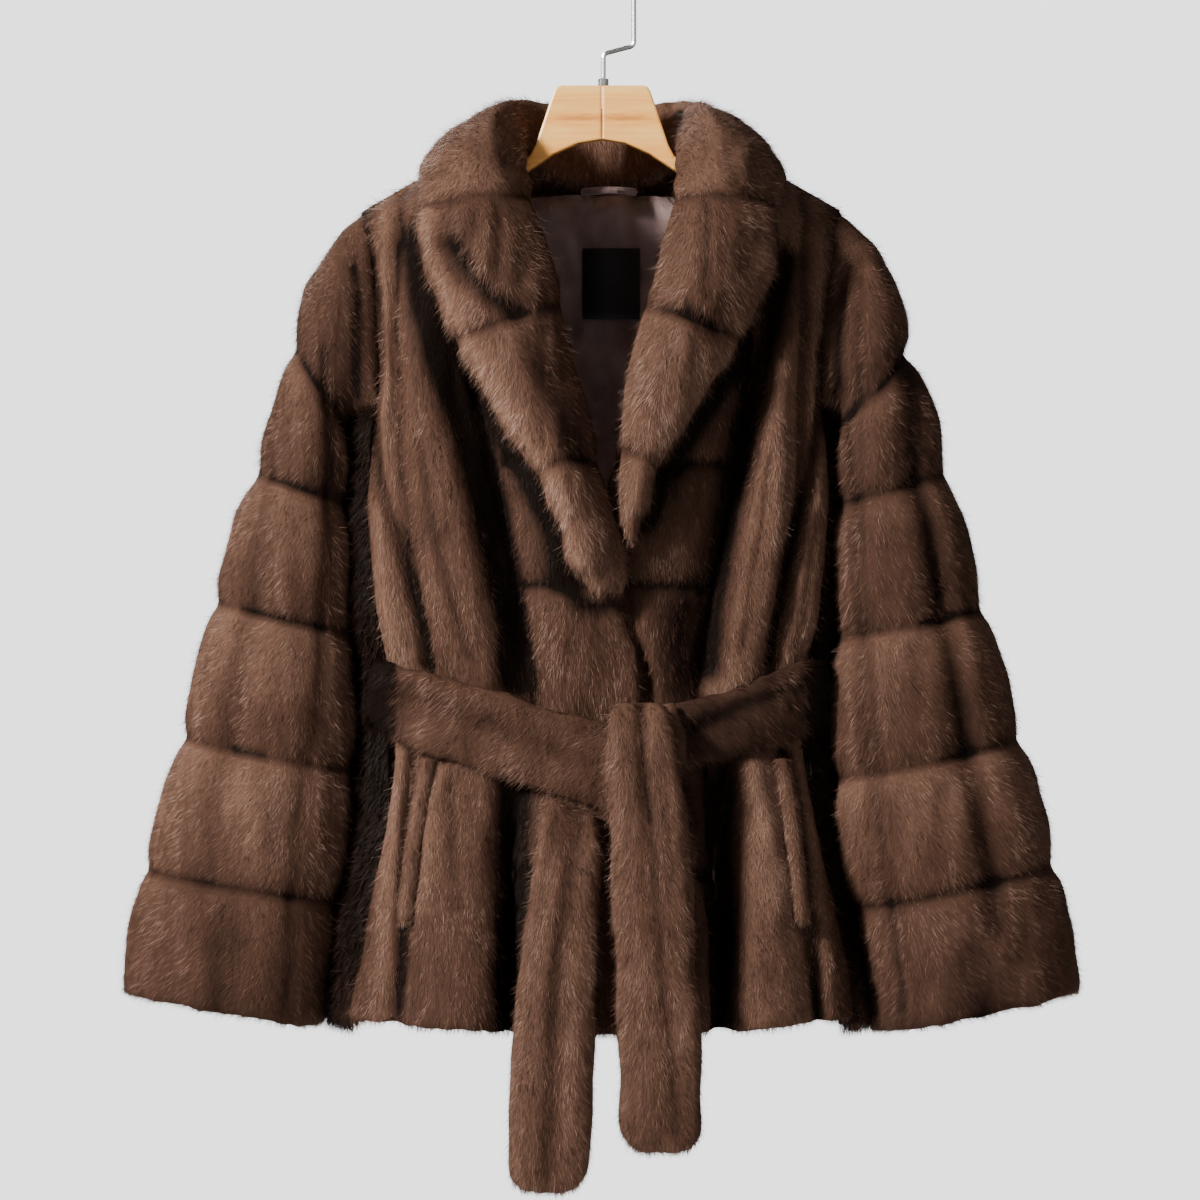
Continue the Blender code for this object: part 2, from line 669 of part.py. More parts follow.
def sleeve_out(side, loop, row, turn):
    around = (sleeve_base(side, loop, row, turn + SMALL_TURN)
              - sleeve_base(side, loop, row, turn - SMALL_TURN))
    low, high = max(row - SMALL_ROW, 0), min(row + SMALL_ROW, len(SLEEVE_RIGHT))
    along = sleeve_base(side, loop, high, turn) - sleeve_base(side, loop, low, turn)
    out = np.cross(around, along) * side
    return out / np.linalg.norm(out)


def sleeve_relief(row, part, turn):
    """Puff between two seams, and a soft trough between a band's two pelts."""
    puff = SLEEVE_PUFF * math.sin(math.pi * part) * math.sqrt((1 + math.cos(turn)) / 2)
    trough = 0.0
    for middle in (TROUGH_TURN, 2 * math.pi - TROUGH_TURN):
        trough += math.exp(-((turn - middle) / TROUGH_HALF) ** 2)
    return puff - SLEEVE_TROUGH * trough * min(max((row - 2) / 2, 0), 1)


def build_sleeves():
    for side, hand in ((-1, "right"), (1, "left")):
        loop = armhole(side)
        for number, (first, last) in enumerate(zip(SLEEVE_SEAMS, SLEEVE_SEAMS[1:]), 1):
            count = SLEEVE_STEPS.get(number, 2)
            outer, inner = [], []
            for row in steps(first + SLEEVE_TRIM, last - SLEEVE_TRIM, count):
                part = (row - first) / (last - first)
                ring_out, ring_in = [], []
                for k in range(SLEEVE_SEGMENTS):
                    turn = 2 * math.pi * (k + 0.5) / SLEEVE_SEGMENTS
                    point = sleeve_base(side, loop, row, turn)
                    out = sleeve_out(side, loop, row, turn)
                    if row < 0.5:           # the armhole edge stands square to the body
                        out[0] = 0.0
                        out /= np.linalg.norm(out)
                    high = sleeve_relief(row, part, turn)
                    ring_out.append(point + out * high)
                    ring_in.append(point + out * (high - WALL))
                outer.append(ring_out)
                inner.append(ring_in)
            wall(f"sleeve_{hand}_{number}", np.array(outer), np.array(inner), "fur", wrap=True)


# ---- collar -------------------------------------------------------------
def surface_tree(grids):
    """The outer surfaces so far, for laying other pieces on them."""
    points, faces = [], []
    for grid in grids:
        start = len(points)
        rows, cols = grid.shape[:2]
        points += [Vector(p) for p in grid.reshape(-1, 3)]
        for row in range(rows - 1):
            for col in range(cols - 1):
                low = start + row * cols + col
                faces.append((low, low + 1, low + cols + 1, low + cols))
    return BVHTree.FromPolygons(points, faces)


def front_y(tree, x, z):
    """Where the fronts' fur stands at a place seen from the front."""
    hit = tree.ray_cast(Vector((x, -FAR, z)), Vector((0, 1, 0)))[0]
    row = row_at(z)
    smooth = body_base(turn_at(x, row), row)[1]
    return min(hit.y, smooth) if hit is not None and hit.y < 0 else smooth


def laid_clear(tree, point, gap):
    """The point, moved out of the body's fur where it is nearer than the gap."""
    place, out, _, away = tree.find_nearest(Vector(point))
    if away > 3 * COLLAR_WALL:
        return point
    if out.dot(Vector((0.3 * place.x, place.y, NECK_HALF))) < 0:
        out = -out
    if (Vector(point) - place).dot(out) < gap:
        return np.array(place + out * gap)
    return point


def lapel_section(tree, row):
    """Four points across a lapel: seam, crest, fall and edge."""
    inner = np.array((row.inner_x, 0, row.inner_z), float)
    outer = np.array((row.outer_x, 0, row.outer_z), float)
    section = []
    for part, share in LAPEL_SECTION:
        point = inner + (outer - inner) * part
        point[2] += row.arch * 4 * part * (1 - part)
        lift = COLLAR_WALL + COLLAR_GAP + row.proud * share
        point[1] = front_y(tree, point[0], point[2]) - lift
        section.append(point)
    return section


def neck_section(row, side):
    return [np.array((point[0] * side, point[1], point[2]), float) for point in row]


def collar_surface(sections):
    """Point and outward direction of the collar at a station and a part across it."""
    def point(station, part):
        four = [spline([section[k] for section in sections], station) for k in range(4)]
        return spline(four, part * 3)

    def out(station, part):
        last = len(sections) - 1
        ahead = (point(min(station + SMALL_ROW, last), part)
                 - point(max(station - SMALL_ROW, 0), part))
        across = (point(station, min(part + SMALL_TURN, 1))
                  - point(station, max(part - SMALL_TURN, 0)))
        found = np.cross(ahead, across)
        return found / np.linalg.norm(found)

    return point, out


def build_collar(tree):
    right = [lapel_section(tree, row) for row in reversed(LAPEL_RIGHT)]
    left = [lapel_section(tree, row) for row in LAPEL_LEFT]
    neck_right = [neck_section(row, -1) for row in NECK]
    neck_left = [neck_section(row, 1) for row in reversed(NECK[:-1])]
    sections = right + neck_right + neck_left + left
    point, out = collar_surface(sections)
    first_left = len(right) + len(neck_right) + len(neck_left)
    spans = [("collar_back", len(right) - 1, first_left)]
    for number, (high, low) in enumerate(zip(LAPEL_SEAMS_RIGHT, LAPEL_SEAMS_RIGHT[1:]), 1):
        spans.append((f"lapel_right_{number}", len(right) - 1 - low, len(right) - 1 - high))
    for number, (low, high) in enumerate(zip(LAPEL_SEAMS_LEFT, LAPEL_SEAMS_LEFT[1:]), 1):
        spans.append((f"lapel_left_{number}", first_left + low, first_left + high))
    for name, start, end in spans:
        count = max(3, round((end - start) * COLLAR_STEPS))
        outer, inner = [], []
        for station in steps(start + COLLAR_TRIM, end - COLLAR_TRIM, count):
            width = np.linalg.norm(point(station, 1) - point(station, 0))
            thick = min(COLLAR_WALL, width * COLLAR_WALL_SHARE)
            line_out, line_in = [], []
            for part in steps(0, 1, COLLAR_ACROSS):
                place = point(station, part)
                under = place - out(station, part) * thick
                if name != "collar_back" or part > 0.5:
                    under = laid_clear(tree, under, COLLAR_GAP)
                line_out.append(place)
                line_in.append(under)
            outer.append(line_out)
            inner.append(line_in)
        OUTER_SURFACES.append(np.array(outer))
        wall(name, np.array(outer), np.array(inner), "fur")


# ---- belt ---------------------------------------------------------------
def belt_ring(turn_of, top, bottom, stand_off=BELT_STAND_OFF, thick=BELT_THICK):
    """The belt's section where it crosses the body, its back on the body's surface."""
    ring = []
    for across, lift in BELT_SECTION:
        z = (top + bottom) / 2 + across * (top - bottom) / 2
        row = row_at(z)
        turn = turn_of(row)
        high = stand_off + lift * thick
        ring.append(body_base(turn, row) + body_normal(turn, row) * high)
    return ring


def build_belt():
    for name, table in (("belt_right", BELT_RIGHT), ("belt_left", BELT_LEFT)):
        rings = [belt_ring(lambda row, x=place.x: turn_at(x, row), place.top, place.bottom)
                 for place in table]
        loft(name, rings, "fur")
    start, end = BELT_LEFT[-1], BELT_RIGHT[0]
    gap = seam_turn(BELT_JOIN_GAP)
    rings = [belt_ring(lambda row: turn_at(start.x, row) + gap, start.top, start.bottom)]
    for turn in steps(math.pi / 2, 3 * math.pi / 2, BELT_BACK_STEPS):
        rings.append(belt_ring(lambda row, t=turn: t, BELT_BACK_TOP, BELT_BACK_BOTTOM,
                               BELT_BACK_STAND_OFF, BELT_BACK_THICK))
    rings.append(belt_ring(lambda row: 2 * math.pi + turn_at(end.x, row) - gap,
                           end.top, end.bottom))
    loft("belt_back", rings, "fur")


def tail_ring(row, count=12):
    """A flat oval with a shallow groove down its face."""
    ring = []
    for k in range(count):
        turn = 2 * math.pi * k / count
        across = row.half_width * power(math.sin(turn), 2 / TAIL_SQUARENESS)
        face = row.thick / 2 * power(math.cos(turn), 2 / TAIL_SQUARENESS)
        groove = TAIL_GROOVE if k == 0 else 0.0
        ring.append((row.middle_x + across, row.back_y - row.thick / 2 - face + groove,
                     row.z - row.tilt * across))
    return ring


def build_tails():
    loft("belt_tail_front", [tail_ring(row) for row in TAIL_FRONT], "fur")
    loft("belt_tail_under", [tail_ring(row) for row in TAIL_UNDER], "fur")
    rings = []
    for part in steps(-1, 1, 6):
        round_off = math.sqrt(1 - (KNOT_END * part) ** 2) ** KNOT_FULLNESS
        rings.append(tail_ring(TailRow(KNOT.z + part * KNOT_HALF_HEIGHT, KNOT.middle_x,
                                       KNOT.half_width * round_off, KNOT.back_y,
                                       KNOT.thick * round_off, KNOT.tilt)))
    loft("belt_knot", rings, "fur")


# ---- pocket lips, lining, loop and label ---------------------------------
def build_pocket_lips():
    for side, hand in ((-1, "right"), (1, "left")):
        outer, inner = [], []
        for z in steps(POCKET_TOP, POCKET_BOTTOM, 6):
            row = row_at(z)
            groove = seams(side, row).groove
            line_out, line_in = [], []
            for part, lift in POCKET_SECTION:
                x = groove - side * (part * POCKET_WIDTH + POCKET_SETBACK)
                turn = turn_at(x, row)
                point, out = body_base(turn, row), body_normal(turn, row)
                high = relief(x, row, side, "panel") + LAY_GAP
                line_in.append(point + out * high)
                line_out.append(point + out * (high + POCKET_THICK * lift))
            outer.append(line_out)
            inner.append(line_in)
        wall(f"pocket_lip_{hand}", np.array(outer), np.array(inner), "fur")


def lining_point(turn, row, inward):
    """A point of the back lining, its centre-back pleat standing inwards."""
    pleat = PLEAT_DEPTH * math.exp(-((turn - math.pi) / PLEAT_HALF) ** 2)
    deep = WALL + LINING_EASE + pleat + inward
    return body_base(turn, row) - body_normal(turn, row) * deep


def build_lining():
    half = LINING_HALF_TURN
    turns = steps(math.pi - half, math.pi - 2 * PLEAT_HALF, 4) + [math.pi - PLEAT_HALF, math.pi]
    turns += [2 * math.pi - turn for turn in reversed(turns[:-1])]
    rows = steps(LINING_FIRST_ROW, LINING_LAST_ROW, 9)
    outer = [[lining_point(turn, row, 0.0) for turn in turns] for row in rows]
    inner = [[lining_point(turn, row, LINING_WALL) for turn in turns] for row in rows]
    wall("lining_back", np.array(outer), np.array(inner), "satin")


def build_label():
    """A bare rectangle on the lining, flat over the pleat."""
    near = []
    for z in steps(LABEL_TOP, LABEL_BOTTOM, 4):
        row = row_at(z)
        line = [lining_point(turn_at(x, row, back=True) % (2 * math.pi), row, LINING_WALL)
                for x in steps(LABEL_RIGHT, LABEL_LEFT, 8)]
        near.append(min(point[1] for point in line) - LABEL_GAP)
    outer, inner = [], []
    for z, y in zip(steps(LABEL_TOP, LABEL_BOTTOM, 4), near):
        xs = steps(LABEL_LEFT, LABEL_RIGHT, 2)
        outer.append([(x, y - LABEL_WALL, z) for x in xs])
        inner.append([(x, y, z) for x in xs])
    wall("label", np.array(outer), np.array(inner), "label")


def tube(name, points, radius, kind, resolution=2):
    """A wire along points, its ends capped, turned into a mesh."""
    data = bpy.data.curves.new(name, "CURVE")
    data.dimensions = "3D"
    data.bevel_depth = radius * MM
    data.bevel_resolution = resolution
    data.use_fill_caps = True
    line = data.splines.new("POLY")
    line.points.add(len(points) - 1)
    for target, point in zip(line.points, points):
        target.co = (*(Vector(point) * MM), 1.0)
    return curve_to_part(name, data, kind)


def curve_to_part(name, data, kind):
    guide = bpy.data.objects.new(name + "_curve", data)
    bpy.context.scene.collection.objects.link(guide)
    bpy.context.view_layer.update()
    evaluated = guide.evaluated_get(bpy.context.evaluated_depsgraph_get())
    mesh = bpy.data.meshes.new_from_object(evaluated)
    shell = bmesh.new()
    shell.from_mesh(mesh)
    bmesh.ops.remove_doubles(shell, verts=shell.verts, dist=FINE)
    bmesh.ops.recalc_face_normals(shell, faces=shell.faces)
    shell.to_mesh(mesh)
    shell.free()
    bpy.data.objects.remove(guide, do_unlink=True)
    mesh.name = name
    mesh.shade_smooth()
    mesh.set_sharp_from_angle(angle=math.radians(40))
    return add_object(name, mesh, kind)


def build_hang_loop():
    points = []
    for part in steps(0, 1, 8):
        x = LOOP_ENDS[0] + part * (LOOP_ENDS[1] - LOOP_ENDS[0])
        points.append((x, LOOP_Y - LOOP_BOW * math.sin(math.pi * part), LOOP_Z))
    tube("hang_loop", points, LOOP_RADIUS, "satin")


# ---- hanger -------------------------------------------------------------
def arm_outline(side):
    half_seam = SEAM_GAP / 2
    rows = ((half_seam, HANGER_TOP_Z),) + ARM_TOP + ARM_TIP + ARM_UNDER[:-1]
    return [(side * x, z) for x, z in rows + ((half_seam, ARM_UNDER[-1][1]),)]


def build_hanger():
    for side, hand in ((-1, "right"), (1, "left")):
        data = bpy.data.curves.new(f"hanger_{hand}", "CURVE")
        data.dimensions = "2D"
        data.fill_mode = "BOTH"
        data.extrude = (HANGER_THICK / 2 - HANGER_ROUND) * MM
        data.bevel_depth = HANGER_ROUND * MM
        data.bevel_resolution = 1
        data.offset = -HANGER_ROUND * MM
        line = data.splines.new("POLY")
        outline = arm_outline(side)
        line.points.add(len(outline) - 1)
        for target, (x, z) in zip(line.points, outline):
            target.co = (x * MM, z * MM, 0.0, 1.0)
        line.use_cyclic_u = True
        half = curve_to_part(f"hanger_{hand}", data, "wood")
        half.rotation_euler = (math.radians(90), 0, 0)


def build_hook():
    bpy.ops.mesh.primitive_cylinder_add(vertices=16, radius=NUT_RADIUS * MM, depth=NUT_HEIGHT * MM)
    nut = bpy.context.object
    nut.name = "hook_nut"
    nut.data.name = "hook_nut"
    foot = HANGER_TOP_Z + HOOK_GAP
    nut.location = (HOOK_FOOT_X * MM, 0, (foot + NUT_HEIGHT / 2) * MM)
    nut.data.materials.append(material("hook_nut", *FINISH["steel"]))
    nut.users_collection[0].objects.unlink(nut)
    bpy.data.collections[COLLECTION].objects.link(nut)
    arc_z = -(HOOK_ARC_RADIUS - WIRE_RADIUS)
    points = [(HOOK_FOOT_X, 0, foot + NUT_HEIGHT + HOOK_GAP),
              (HOOK_FOOT_X, 0, HOOK_JOG_Z - 2 * HOOK_BEND_RADIUS)]
    points += bend(HOOK_FOOT_X + HOOK_BEND_RADIUS, HOOK_JOG_Z - HOOK_JOG_HALF - HOOK_BEND_RADIUS,
                   180, 90)
    points += bend(HOOK_ARC_RADIUS - HOOK_BEND_RADIUS,
                   HOOK_JOG_Z + HOOK_JOG_HALF + HOOK_BEND_RADIUS, -90, 0)
    points.append((HOOK_ARC_RADIUS, 0, arc_z - HOOK_ARC_RADIUS))
    for degrees in steps(*HOOK_ARC, 14):
        turn = math.radians(degrees)
        points.append((HOOK_ARC_RADIUS * math.cos(turn), 0,
                       arc_z + HOOK_ARC_RADIUS * math.sin(turn)))
    tube("hook", points, WIRE_RADIUS, "steel")


def bend(x, z, start, end):
    """A quarter bend of the wire around a point, from one angle in degrees to another."""
    found = []
    for degrees in steps(start, end, 4):
        turn = math.radians(degrees)
        found.append((x + HOOK_BEND_RADIUS * math.cos(turn), 0,
                      z + HOOK_BEND_RADIUS * math.sin(turn)))
    return found


def main():
    clear_scene()
    bpy.context.scene.collection.children.link(bpy.data.collections.new(COLLECTION))
    build_fronts()
    build_sides()
    build_back()
    build_sleeves()
    build_collar(surface_tree(OUTER_SURFACES))
    build_belt()
    build_tails()
    build_pocket_lips()
    build_lining()
    build_label()
    build_hang_loop()
    build_hanger()
    build_hook()


main()
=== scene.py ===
# %% [markdown]
# # A belted faux fur jacket on a wooden hanger
# The jacket hangs from the hook of its hanger. It is sewn from fronts, sides,
# back, sleeves, collar, belt and pocket lips. The CAD model holds their places,
# so each piece starts as a copy of CAD pieces, is made soft and grows its pile.

# %% Load the frame
import json
import math
from collections import namedtuple

import bmesh
import bpy
import numpy as np
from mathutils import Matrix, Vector, kdtree

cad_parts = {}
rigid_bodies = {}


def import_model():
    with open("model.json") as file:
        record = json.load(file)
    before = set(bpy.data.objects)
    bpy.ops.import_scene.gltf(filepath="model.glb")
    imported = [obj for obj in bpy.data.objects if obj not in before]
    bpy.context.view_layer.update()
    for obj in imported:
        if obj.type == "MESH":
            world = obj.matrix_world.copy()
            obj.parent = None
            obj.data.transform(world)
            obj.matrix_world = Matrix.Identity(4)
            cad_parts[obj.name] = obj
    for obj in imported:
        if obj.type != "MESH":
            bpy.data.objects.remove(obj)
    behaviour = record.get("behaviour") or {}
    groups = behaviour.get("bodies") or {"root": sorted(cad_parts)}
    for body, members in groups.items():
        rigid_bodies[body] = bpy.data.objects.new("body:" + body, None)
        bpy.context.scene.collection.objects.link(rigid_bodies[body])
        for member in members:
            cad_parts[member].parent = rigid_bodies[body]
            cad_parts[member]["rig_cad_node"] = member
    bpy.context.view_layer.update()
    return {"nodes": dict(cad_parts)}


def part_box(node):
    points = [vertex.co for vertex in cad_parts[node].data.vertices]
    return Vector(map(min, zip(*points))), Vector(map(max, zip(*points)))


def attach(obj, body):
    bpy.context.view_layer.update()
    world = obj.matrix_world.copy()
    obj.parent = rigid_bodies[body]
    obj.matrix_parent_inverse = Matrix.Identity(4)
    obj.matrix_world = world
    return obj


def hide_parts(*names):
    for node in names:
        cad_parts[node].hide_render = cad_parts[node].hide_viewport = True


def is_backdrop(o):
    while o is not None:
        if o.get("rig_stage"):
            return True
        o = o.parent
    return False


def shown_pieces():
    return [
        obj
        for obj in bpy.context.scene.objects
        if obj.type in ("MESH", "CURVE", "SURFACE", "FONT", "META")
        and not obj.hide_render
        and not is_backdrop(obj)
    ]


MM = 0.001
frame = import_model()
nodes = frame["nodes"]
bpy.ops.object.select_all(action="DESELECT")

# %% [markdown]
# ## Helpers
# Light and every material below are small networks of nodes. A few helpers keep
# the cells short: they add a node with its settings, join nodes, and start a
# material. Two curves, a slope and a bell, fade an effect in and out.

# %% Helpers
def add_object(name, data):
    made = bpy.data.objects.new(name, data)
    bpy.context.collection.objects.link(made)
    return made


def ease(value, start, over):
    """0 up to start, and from there up to 1 over a stated distance."""
    return np.clip((value - start) / over, 0, 1)


def bell(distance, width):
    """1 at no distance, and fading to about a third at a distance of the width."""
    return np.exp(-(distance / width) ** 2)


def set_inputs(made, **values):
    """Sets input sockets of a node by name, with _ for a space."""
    for key, value in values.items():
        made.inputs[key.replace("_", " ")].default_value = value


def node(tree, kind, settings=(), **values):
    """Adds a node; settings are its own properties, values its input sockets."""
    made = tree.nodes.new(kind)
    for key, value in dict(settings).items():
        setattr(made, key, value)
    set_inputs(made, **values)
    return made


def math_node(tree, operation, *values, **settings):
    """Adds a Math node; values go to its second and third sockets."""
    made = node(tree, "ShaderNodeMath", {"operation": operation, **settings})
    for socket, value in zip(made.inputs[1:], values):
        socket.default_value = value
    return made


def wire(tree, *links):
    """Joins nodes; a link is a node, its output, the next node and its input."""
    for source, out, target, into in links:
        tree.links.new(source.outputs[out], target.inputs[into])


# %% Helpers for materials
def start_material(name, **finish):
    """A material, its tree and its shader, with values that are the same all over."""
    material = bpy.data.materials.new(name)
    material.use_nodes = True
    tree = material.node_tree
    shader = tree.nodes["Principled BSDF"]
    set_inputs(shader, **finish)
    return material, tree, shader


def ramp(tree, stops):
    """A colour ramp with stops of (place, red, green, blue), in linear light."""
    made = tree.nodes.new("ShaderNodeValToRGB")
    bands = made.color_ramp.elements
    for place, *colour in stops[1:-1]:
        bands.new(place)
    for band, (place, *colour) in zip(bands, stops):
        band.position = place
        band.color = (*colour, 1)
    return made


def start_group(name, inputs, output):
    """A shader node group; inputs are (name, kind, value), the output (name, kind)."""
    group = bpy.data.node_groups.new(name, "ShaderNodeTree")
    for label, kind, value in inputs:
        socket = group.interface.new_socket(label, in_out="INPUT", socket_type=kind)
        socket.default_value = value
    group.interface.new_socket(output[0], in_out="OUTPUT", socket_type=output[1])
    return group, group.nodes.new("NodeGroupInput"), group.nodes.new("NodeGroupOutput")


def place_group(tree, group, **values):
    return node(tree, "ShaderNodeGroup", {"node_tree": group}, **values)


def cloudy_colour(tree, shader, stops, **noise):
    """A base colour that wanders between stops, with its coordinates and noise."""
    coords = node(tree, "ShaderNodeTexCoord")
    cloud = node(tree, "ShaderNodeTexNoise", **noise)
    colours = ramp(tree, stops)
    wire(tree, (coords, "Object", cloud, "Vector"), (cloud, "Fac", colours, "Fac"),
         (colours, "Color", shader, "Base Color"))
    return coords, cloud


# %% [markdown]
# ## Camera and light
# The jacket is seen from the front at chest height, from so far away that it
# looks nearly flat. A rather small lamp from the upper left gives each ridge of
# the fur a lit and a shaded side, and weak ones open the shadows. The camera sees
# a brighter world than the one that lights the jacket, so the wall looks pale and
# the valleys of the fur stay dark.

# %% Camera
LENS = 150.0
SENSOR = 36.0
VIEW_WIDTH = 893 * MM            # seen across, at the front of the jacket
VIEW_CENTRE = Vector((-1.5, -50, -485)) * MM

camera = add_object("camera", bpy.data.cameras.new("camera"))
camera.data.lens = LENS
camera.data.sensor_width = SENSOR
camera.location = VIEW_CENTRE - Vector((0, VIEW_WIDTH * LENS / SENSOR, 0))
camera.rotation_euler = (math.radians(90), 0, 0)
bpy.context.scene.camera = camera
print("camera stands", round(-camera.location.y, 3), "m in front")


# %% Lamps and world
def soft_lamp(name, place, aim, size, power):
    """A square area lamp at a place, turned to an aim point."""
    lamp = add_object(name, bpy.data.lights.new(name, "AREA"))
    lamp.data.size = size
    lamp.data.energy = power
    lamp.location = place
    lamp.rotation_euler = (Vector(aim) - Vector(place)).to_track_quat("-Z", "Y").to_euler()


CHEST = (0, 0, -0.45)
WALL_WHITE = (0.93, 0.94, 0.95, 1)
soft_lamp("key", (-2.5, -2.1, 1.2), CHEST, 0.5, 330)
soft_lamp("fill", (1.9, -2.4, -0.3), CHEST, 1.8, 8)
soft_lamp("rim", (-0.9, 2.4, 0.9), CHEST, 1.4, 90)
world = bpy.data.worlds.new("studio")
world.use_nodes = True
sky = world.node_tree
light_sky = sky.nodes["Background"]
set_inputs(light_sky, Color=WALL_WHITE, Strength=0.25)
seen_sky = node(sky, "ShaderNodeBackground", Color=WALL_WHITE, Strength=2.5)
choose = node(sky, "ShaderNodeMixShader")
rays = node(sky, "ShaderNodeLightPath")
wire(sky, (rays, "Is Camera Ray", choose, 0), (light_sky, 0, choose, 1),
     (seen_sky, 0, choose, 2), (choose, 0, sky.nodes["World Output"], "Surface"))
bpy.context.scene.world = world


# %% [markdown]
# ## The colour of the pile
# A hair is dark at its root, where its neighbours shade it, and lighter towards
# its tip, and the brown changes from pelt to pelt. So one group turns two
# numbers, the tone of the hair and the place along it, into a colour. Hairs read
# both from their UV map, and the pressed ground under them makes them from noise,
# so the two always match.

# %% Pile colour group
pile_colour, pile_in, pile_out = start_group(
    "Pile colour", [("Tone", "NodeSocketFloat", 0.5), ("Along", "NodeSocketFloat", 0.5)],
    ("Color", "NodeSocketColor"))
root_ramp = ramp(pile_colour, [(0.0, 0.004, 0.002, 0.001), (0.5, 0.080, 0.038, 0.024),
                               (1.0, 0.230, 0.126, 0.086)])
tip_ramp = ramp(pile_colour, [(0.0, 0.006, 0.003, 0.002), (0.3, 0.074, 0.036, 0.023),
                              (0.6, 0.205, 0.111, 0.074), (1.0, 0.560, 0.370, 0.290)])
blend = node(pile_colour, "ShaderNodeMix", {"data_type": "RGBA"})
wire(pile_colour,
     (pile_in, "Tone", root_ramp, "Fac"), (pile_in, "Tone", tip_ramp, "Fac"),
     (pile_in, "Along", blend, 0), (root_ramp, "Color", blend, 6),
     (tip_ramp, "Color", blend, 7), (blend, 2, pile_out, "Color"))

# %% Hair material
BAKE_MAP = "OFBake"
hair, tree, shader = start_material("hair", Roughness=0.55, Specular_IOR_Level=0.07)
place_uv = node(tree, "ShaderNodeUVMap", {"uv_map": BAKE_MAP})
split = node(tree, "ShaderNodeSeparateXYZ")
colour = place_group(tree, pile_colour)
wire(tree, (place_uv, "UV", split, 0), (split, "X", colour, "Tone"),
     (split, "Y", colour, "Along"), (colour, "Color", shader, "Base Color"))

# %% [markdown]
# ## The pressed ground of the pile
# Under the guard hairs lies a dense short wool. It is the cloth's own surface,
# so noise is enough for it, stretched along the way the hair falls, with a bump
# that still catches light where hairs are thin. Its painted shade in seams,
# creases and where parts turn away, its painted highlights on some ridges, and
# the tones of the pelts come from an attribute that the shaping step leaves on
# the cloth.

# %% Ground material
PAINTED_SHADE_ATTRIBUTE = "painted_shade_and_tone"
COMB_ATTRIBUTE = "comb"
ground, tree, shader = start_material("pile_ground", Roughness=0.85, Specular_IOR_Level=0.05)
coords = node(tree, "ShaderNodeTexCoord")
comb = node(tree, "ShaderNodeAttribute", {"attribute_name": COMB_ATTRIBUTE})
strands = node(tree, "ShaderNodeTexNoise", Scale=1100.0, Detail=3.0, Roughness=0.6)
patches = node(tree, "ShaderNodeTexNoise", Scale=24.0, Detail=2.0)
painted_shade_and_tone = node(tree, "ShaderNodeAttribute", {"attribute_name": PAINTED_SHADE_ATTRIBUTE})
colour = place_group(tree, pile_colour)
tone = math_node(tree, "MULTIPLY_ADD", 0.24, 0.25)
# Painted shade and the pelts' tones come off the cloudy tone here
folded = math_node(tree, "SUBTRACT", use_clamp=True)
along = node(tree, "ShaderNodeMapRange", From_Min=0.3, From_Max=0.7, To_Min=0.1, To_Max=1.0)
bump = node(tree, "ShaderNodeBump", Strength=0.6, Distance=0.0010)
wire(tree, (comb, "Vector", strands, "Vector"), (coords, "Object", patches, "Vector"),
     (patches, "Fac", tone, 0), (tone, 0, folded, 0), (painted_shade_and_tone, "Fac", folded, 1),
     (folded, 0, colour, "Tone"), (strands, "Fac", along, "Value"), (along, 0, colour, "Along"),
     (strands, "Fac", bump, "Height"), (bump, "Normal", shader, "Normal"),
     (colour, "Color", shader, "Base Color"))

# %% [markdown]
# ## Woven cloth: the satin lining and the bare label
# One is glossy, with long floats, and one matt and tight. A weave is two sets of
# threads that cross, so the group multiplies two fine waves to a height.

# %% Weave group
weave, weave_in, weave_out = start_group(
    "Weave",
    [("Vector", "NodeSocketVector", (0, 0, 0)), ("Warp", "NodeSocketFloat", 2500.0),
     ("Weft", "NodeSocketFloat", 2500.0)],
    ("Height", "NodeSocketFloat"))
split = node(weave, "ShaderNodeSeparateXYZ")
crossed = math_node(weave, "MULTIPLY")
wire(weave, (weave_in, "Vector", split, 0), (crossed, 0, weave_out, "Height"))
for number, (axis, rate) in enumerate((("X", "Warp"), ("Z", "Weft"))):
    scaled, wave = math_node(weave, "MULTIPLY"), math_node(weave, "SINE")
    wire(weave, (split, axis, scaled, 0), (weave_in, rate, scaled, 1),
         (scaled, 0, wave, 0), (wave, 0, crossed, number))


def woven_material(name, stops, warp, weft, bump_strength, **finish):
    """A cloth whose colour wanders between stops, with a weave in its bump."""
    material, tree, shader = start_material(name, **finish)
    coords, _ = cloudy_colour(tree, shader, stops, Scale=35.0, Detail=3.0)
    threads = place_group(tree, weave, Warp=warp, Weft=weft)
    bump = node(tree, "ShaderNodeBump", Strength=bump_strength, Distance=0.0004)
    wire(tree, (coords, "Object", threads, "Vector"), (threads, "Height", bump, "Height"),
         (bump, "Normal", shader, "Normal"))
    return material


satin = woven_material("satin", [(0.3, 0.18, 0.11, 0.10), (0.7, 0.34, 0.228, 0.21)],
                       5200.0, 2600.0, 0.12, Roughness=0.34, Sheen_Weight=0.35, Anisotropic=0.4)
label_cloth = woven_material("label_cloth",
                             [(0.3, 0.008, 0.007, 0.008), (0.7, 0.016, 0.014, 0.016)],
                             3600.0, 5200.0, 0.35, Roughness=0.55)

# %% [markdown]
# ## Beech wood and polished wire
# The grain runs along each arm of the hanger, so it meets in a chevron at the
# middle. Taking the distance from the middle instead of the left-right place
# mirrors the pattern, and a turn lays it along the arm.

